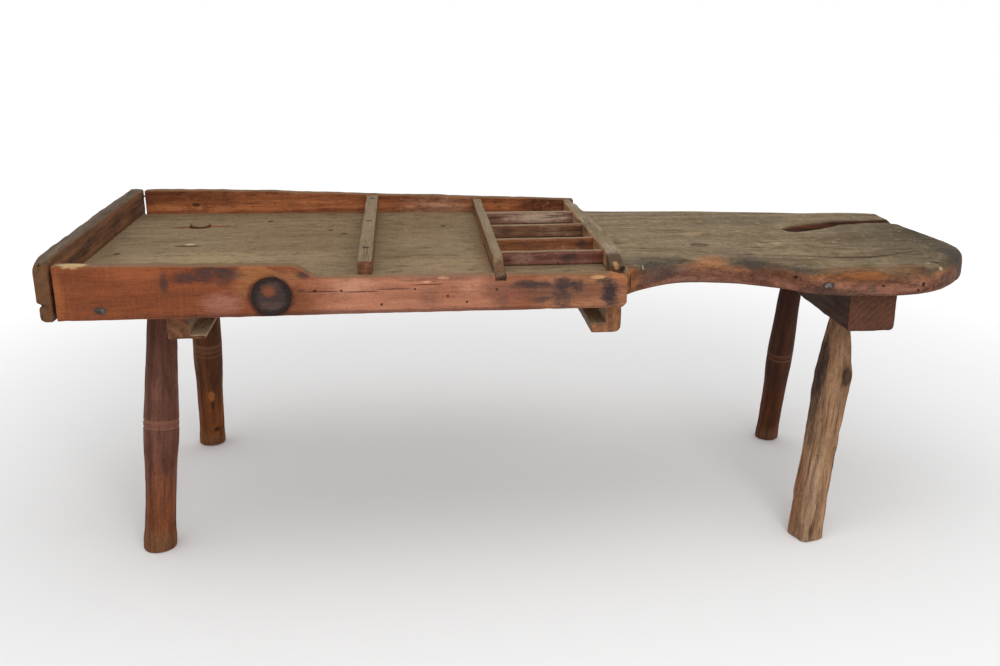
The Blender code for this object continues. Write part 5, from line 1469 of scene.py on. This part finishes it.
nails.modifiers.clear()
nails.data = driven
nails.data.shade_smooth()
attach(nails, "root")
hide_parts(*nail_nodes)


# The studio
# A plain pale floor, soft light from all round, two large soft lamps in front and above, and the camera.

FLOOR_HALF = 6.0
FLOOR_SINK = 0.0005
FLOOR_SHADE = 0.93
FLOOR_WHITE = (0.75, 2.0)      # between these distances the floor passes into white
SKY_STRENGTH = 0.80
# For each lamp: its place, size and power
LAMPS = (("front_lamp", (0.5, -2.6, 1.9), 1.6, 24.0), ("top_lamp", (-0.3, -0.4, 2.6), 1.8, 6.0))
LAMP_AIM = Vector((0.0, 0.0, 0.35))
LENS, SENSOR = 38.088, 36.0    # in millimetres
CAMERA_PLACE = (-0.18035, -1.63177, 0.784)
CAMERA_AIM = Vector((0.0853, 0.9480, -0.3067))


def aim(thing, way):
    """Turns a lamp or the camera to look along a direction, and adds it to the scene."""
    thing.rotation_euler = way.to_track_quat("-Z", "Y").to_euler()
    bpy.context.collection.objects.link(thing)


floor_mesh = bpy.data.meshes.new("floor")
floor_corners = rectangle(-FLOOR_HALF, -FLOOR_HALF, FLOOR_HALF, FLOOR_HALF)
floor_mesh.from_pydata([(x, y, -FLOOR_SINK) for x, y in floor_corners], [], [(0, 1, 2, 3)])
floor = bpy.data.objects.new("floor", floor_mesh)
bpy.context.collection.objects.link(floor)
pale = bpy.data.materials.new("pale_floor")
pale.use_nodes = True
tree, shader = pale.node_tree, pale.node_tree.nodes["Principled BSDF"]
far_out = spread(tree, length_of(tree, node(tree, "TexCoord").outputs["Object"]), *FLOOR_WHITE)
bright = maths(tree, "MULTIPLY", far_out, 1 - FLOOR_SHADE * SKY_STRENGTH)
tree.links.new(grey(tree, bright), shader.inputs["Emission Color"])
for label, value in (("Base Color", (FLOOR_SHADE, FLOOR_SHADE, FLOOR_SHADE, 1.0)), ("Roughness", 0.9),
                     ("Specular IOR Level", 0.0), ("Emission Strength", 1.0)):
    shader.inputs[label].default_value = value
floor_mesh.materials.append(pale)

world = bpy.data.worlds.new("studio")
bpy.context.scene.world = world
world.use_nodes = True
tree = world.node_tree
tree.nodes.clear()
seen = node(tree, "LightPath").outputs
direct = maths(tree, "MAXIMUM", seen["Is Glossy Ray"], seen["Is Transmission Ray"])
direct = maths(tree, "MAXIMUM", seen["Is Camera Ray"], direct)
lit, white = (node(tree, "Background", {"Color": (1.0, 1.0, 1.0, 1.0), "Strength": strength}).outputs[0]
              for strength in (SKY_STRENGTH, 1.0))
node(tree, "OutputWorld", {"Surface": node(tree, "MixShader", {0: direct, 1: lit, 2: white}).outputs[0]})

for name, place, size, power in LAMPS:
    light = bpy.data.lights.new(name, "AREA")
    light.size = size
    light.energy = power
    lamp = bpy.data.objects.new(name, light)
    lamp.location = place
    aim(lamp, LAMP_AIM - Vector(place))

camera_data = bpy.data.cameras.new("camera")
camera_data.lens = LENS
camera_data.sensor_width = SENSOR
camera = bpy.data.objects.new("camera", camera_data)
camera.location = CAMERA_PLACE
aim(camera, CAMERA_AIM)
bpy.context.scene.camera = camera
bpy.context.scene.view_settings.view_transform = "Standard"
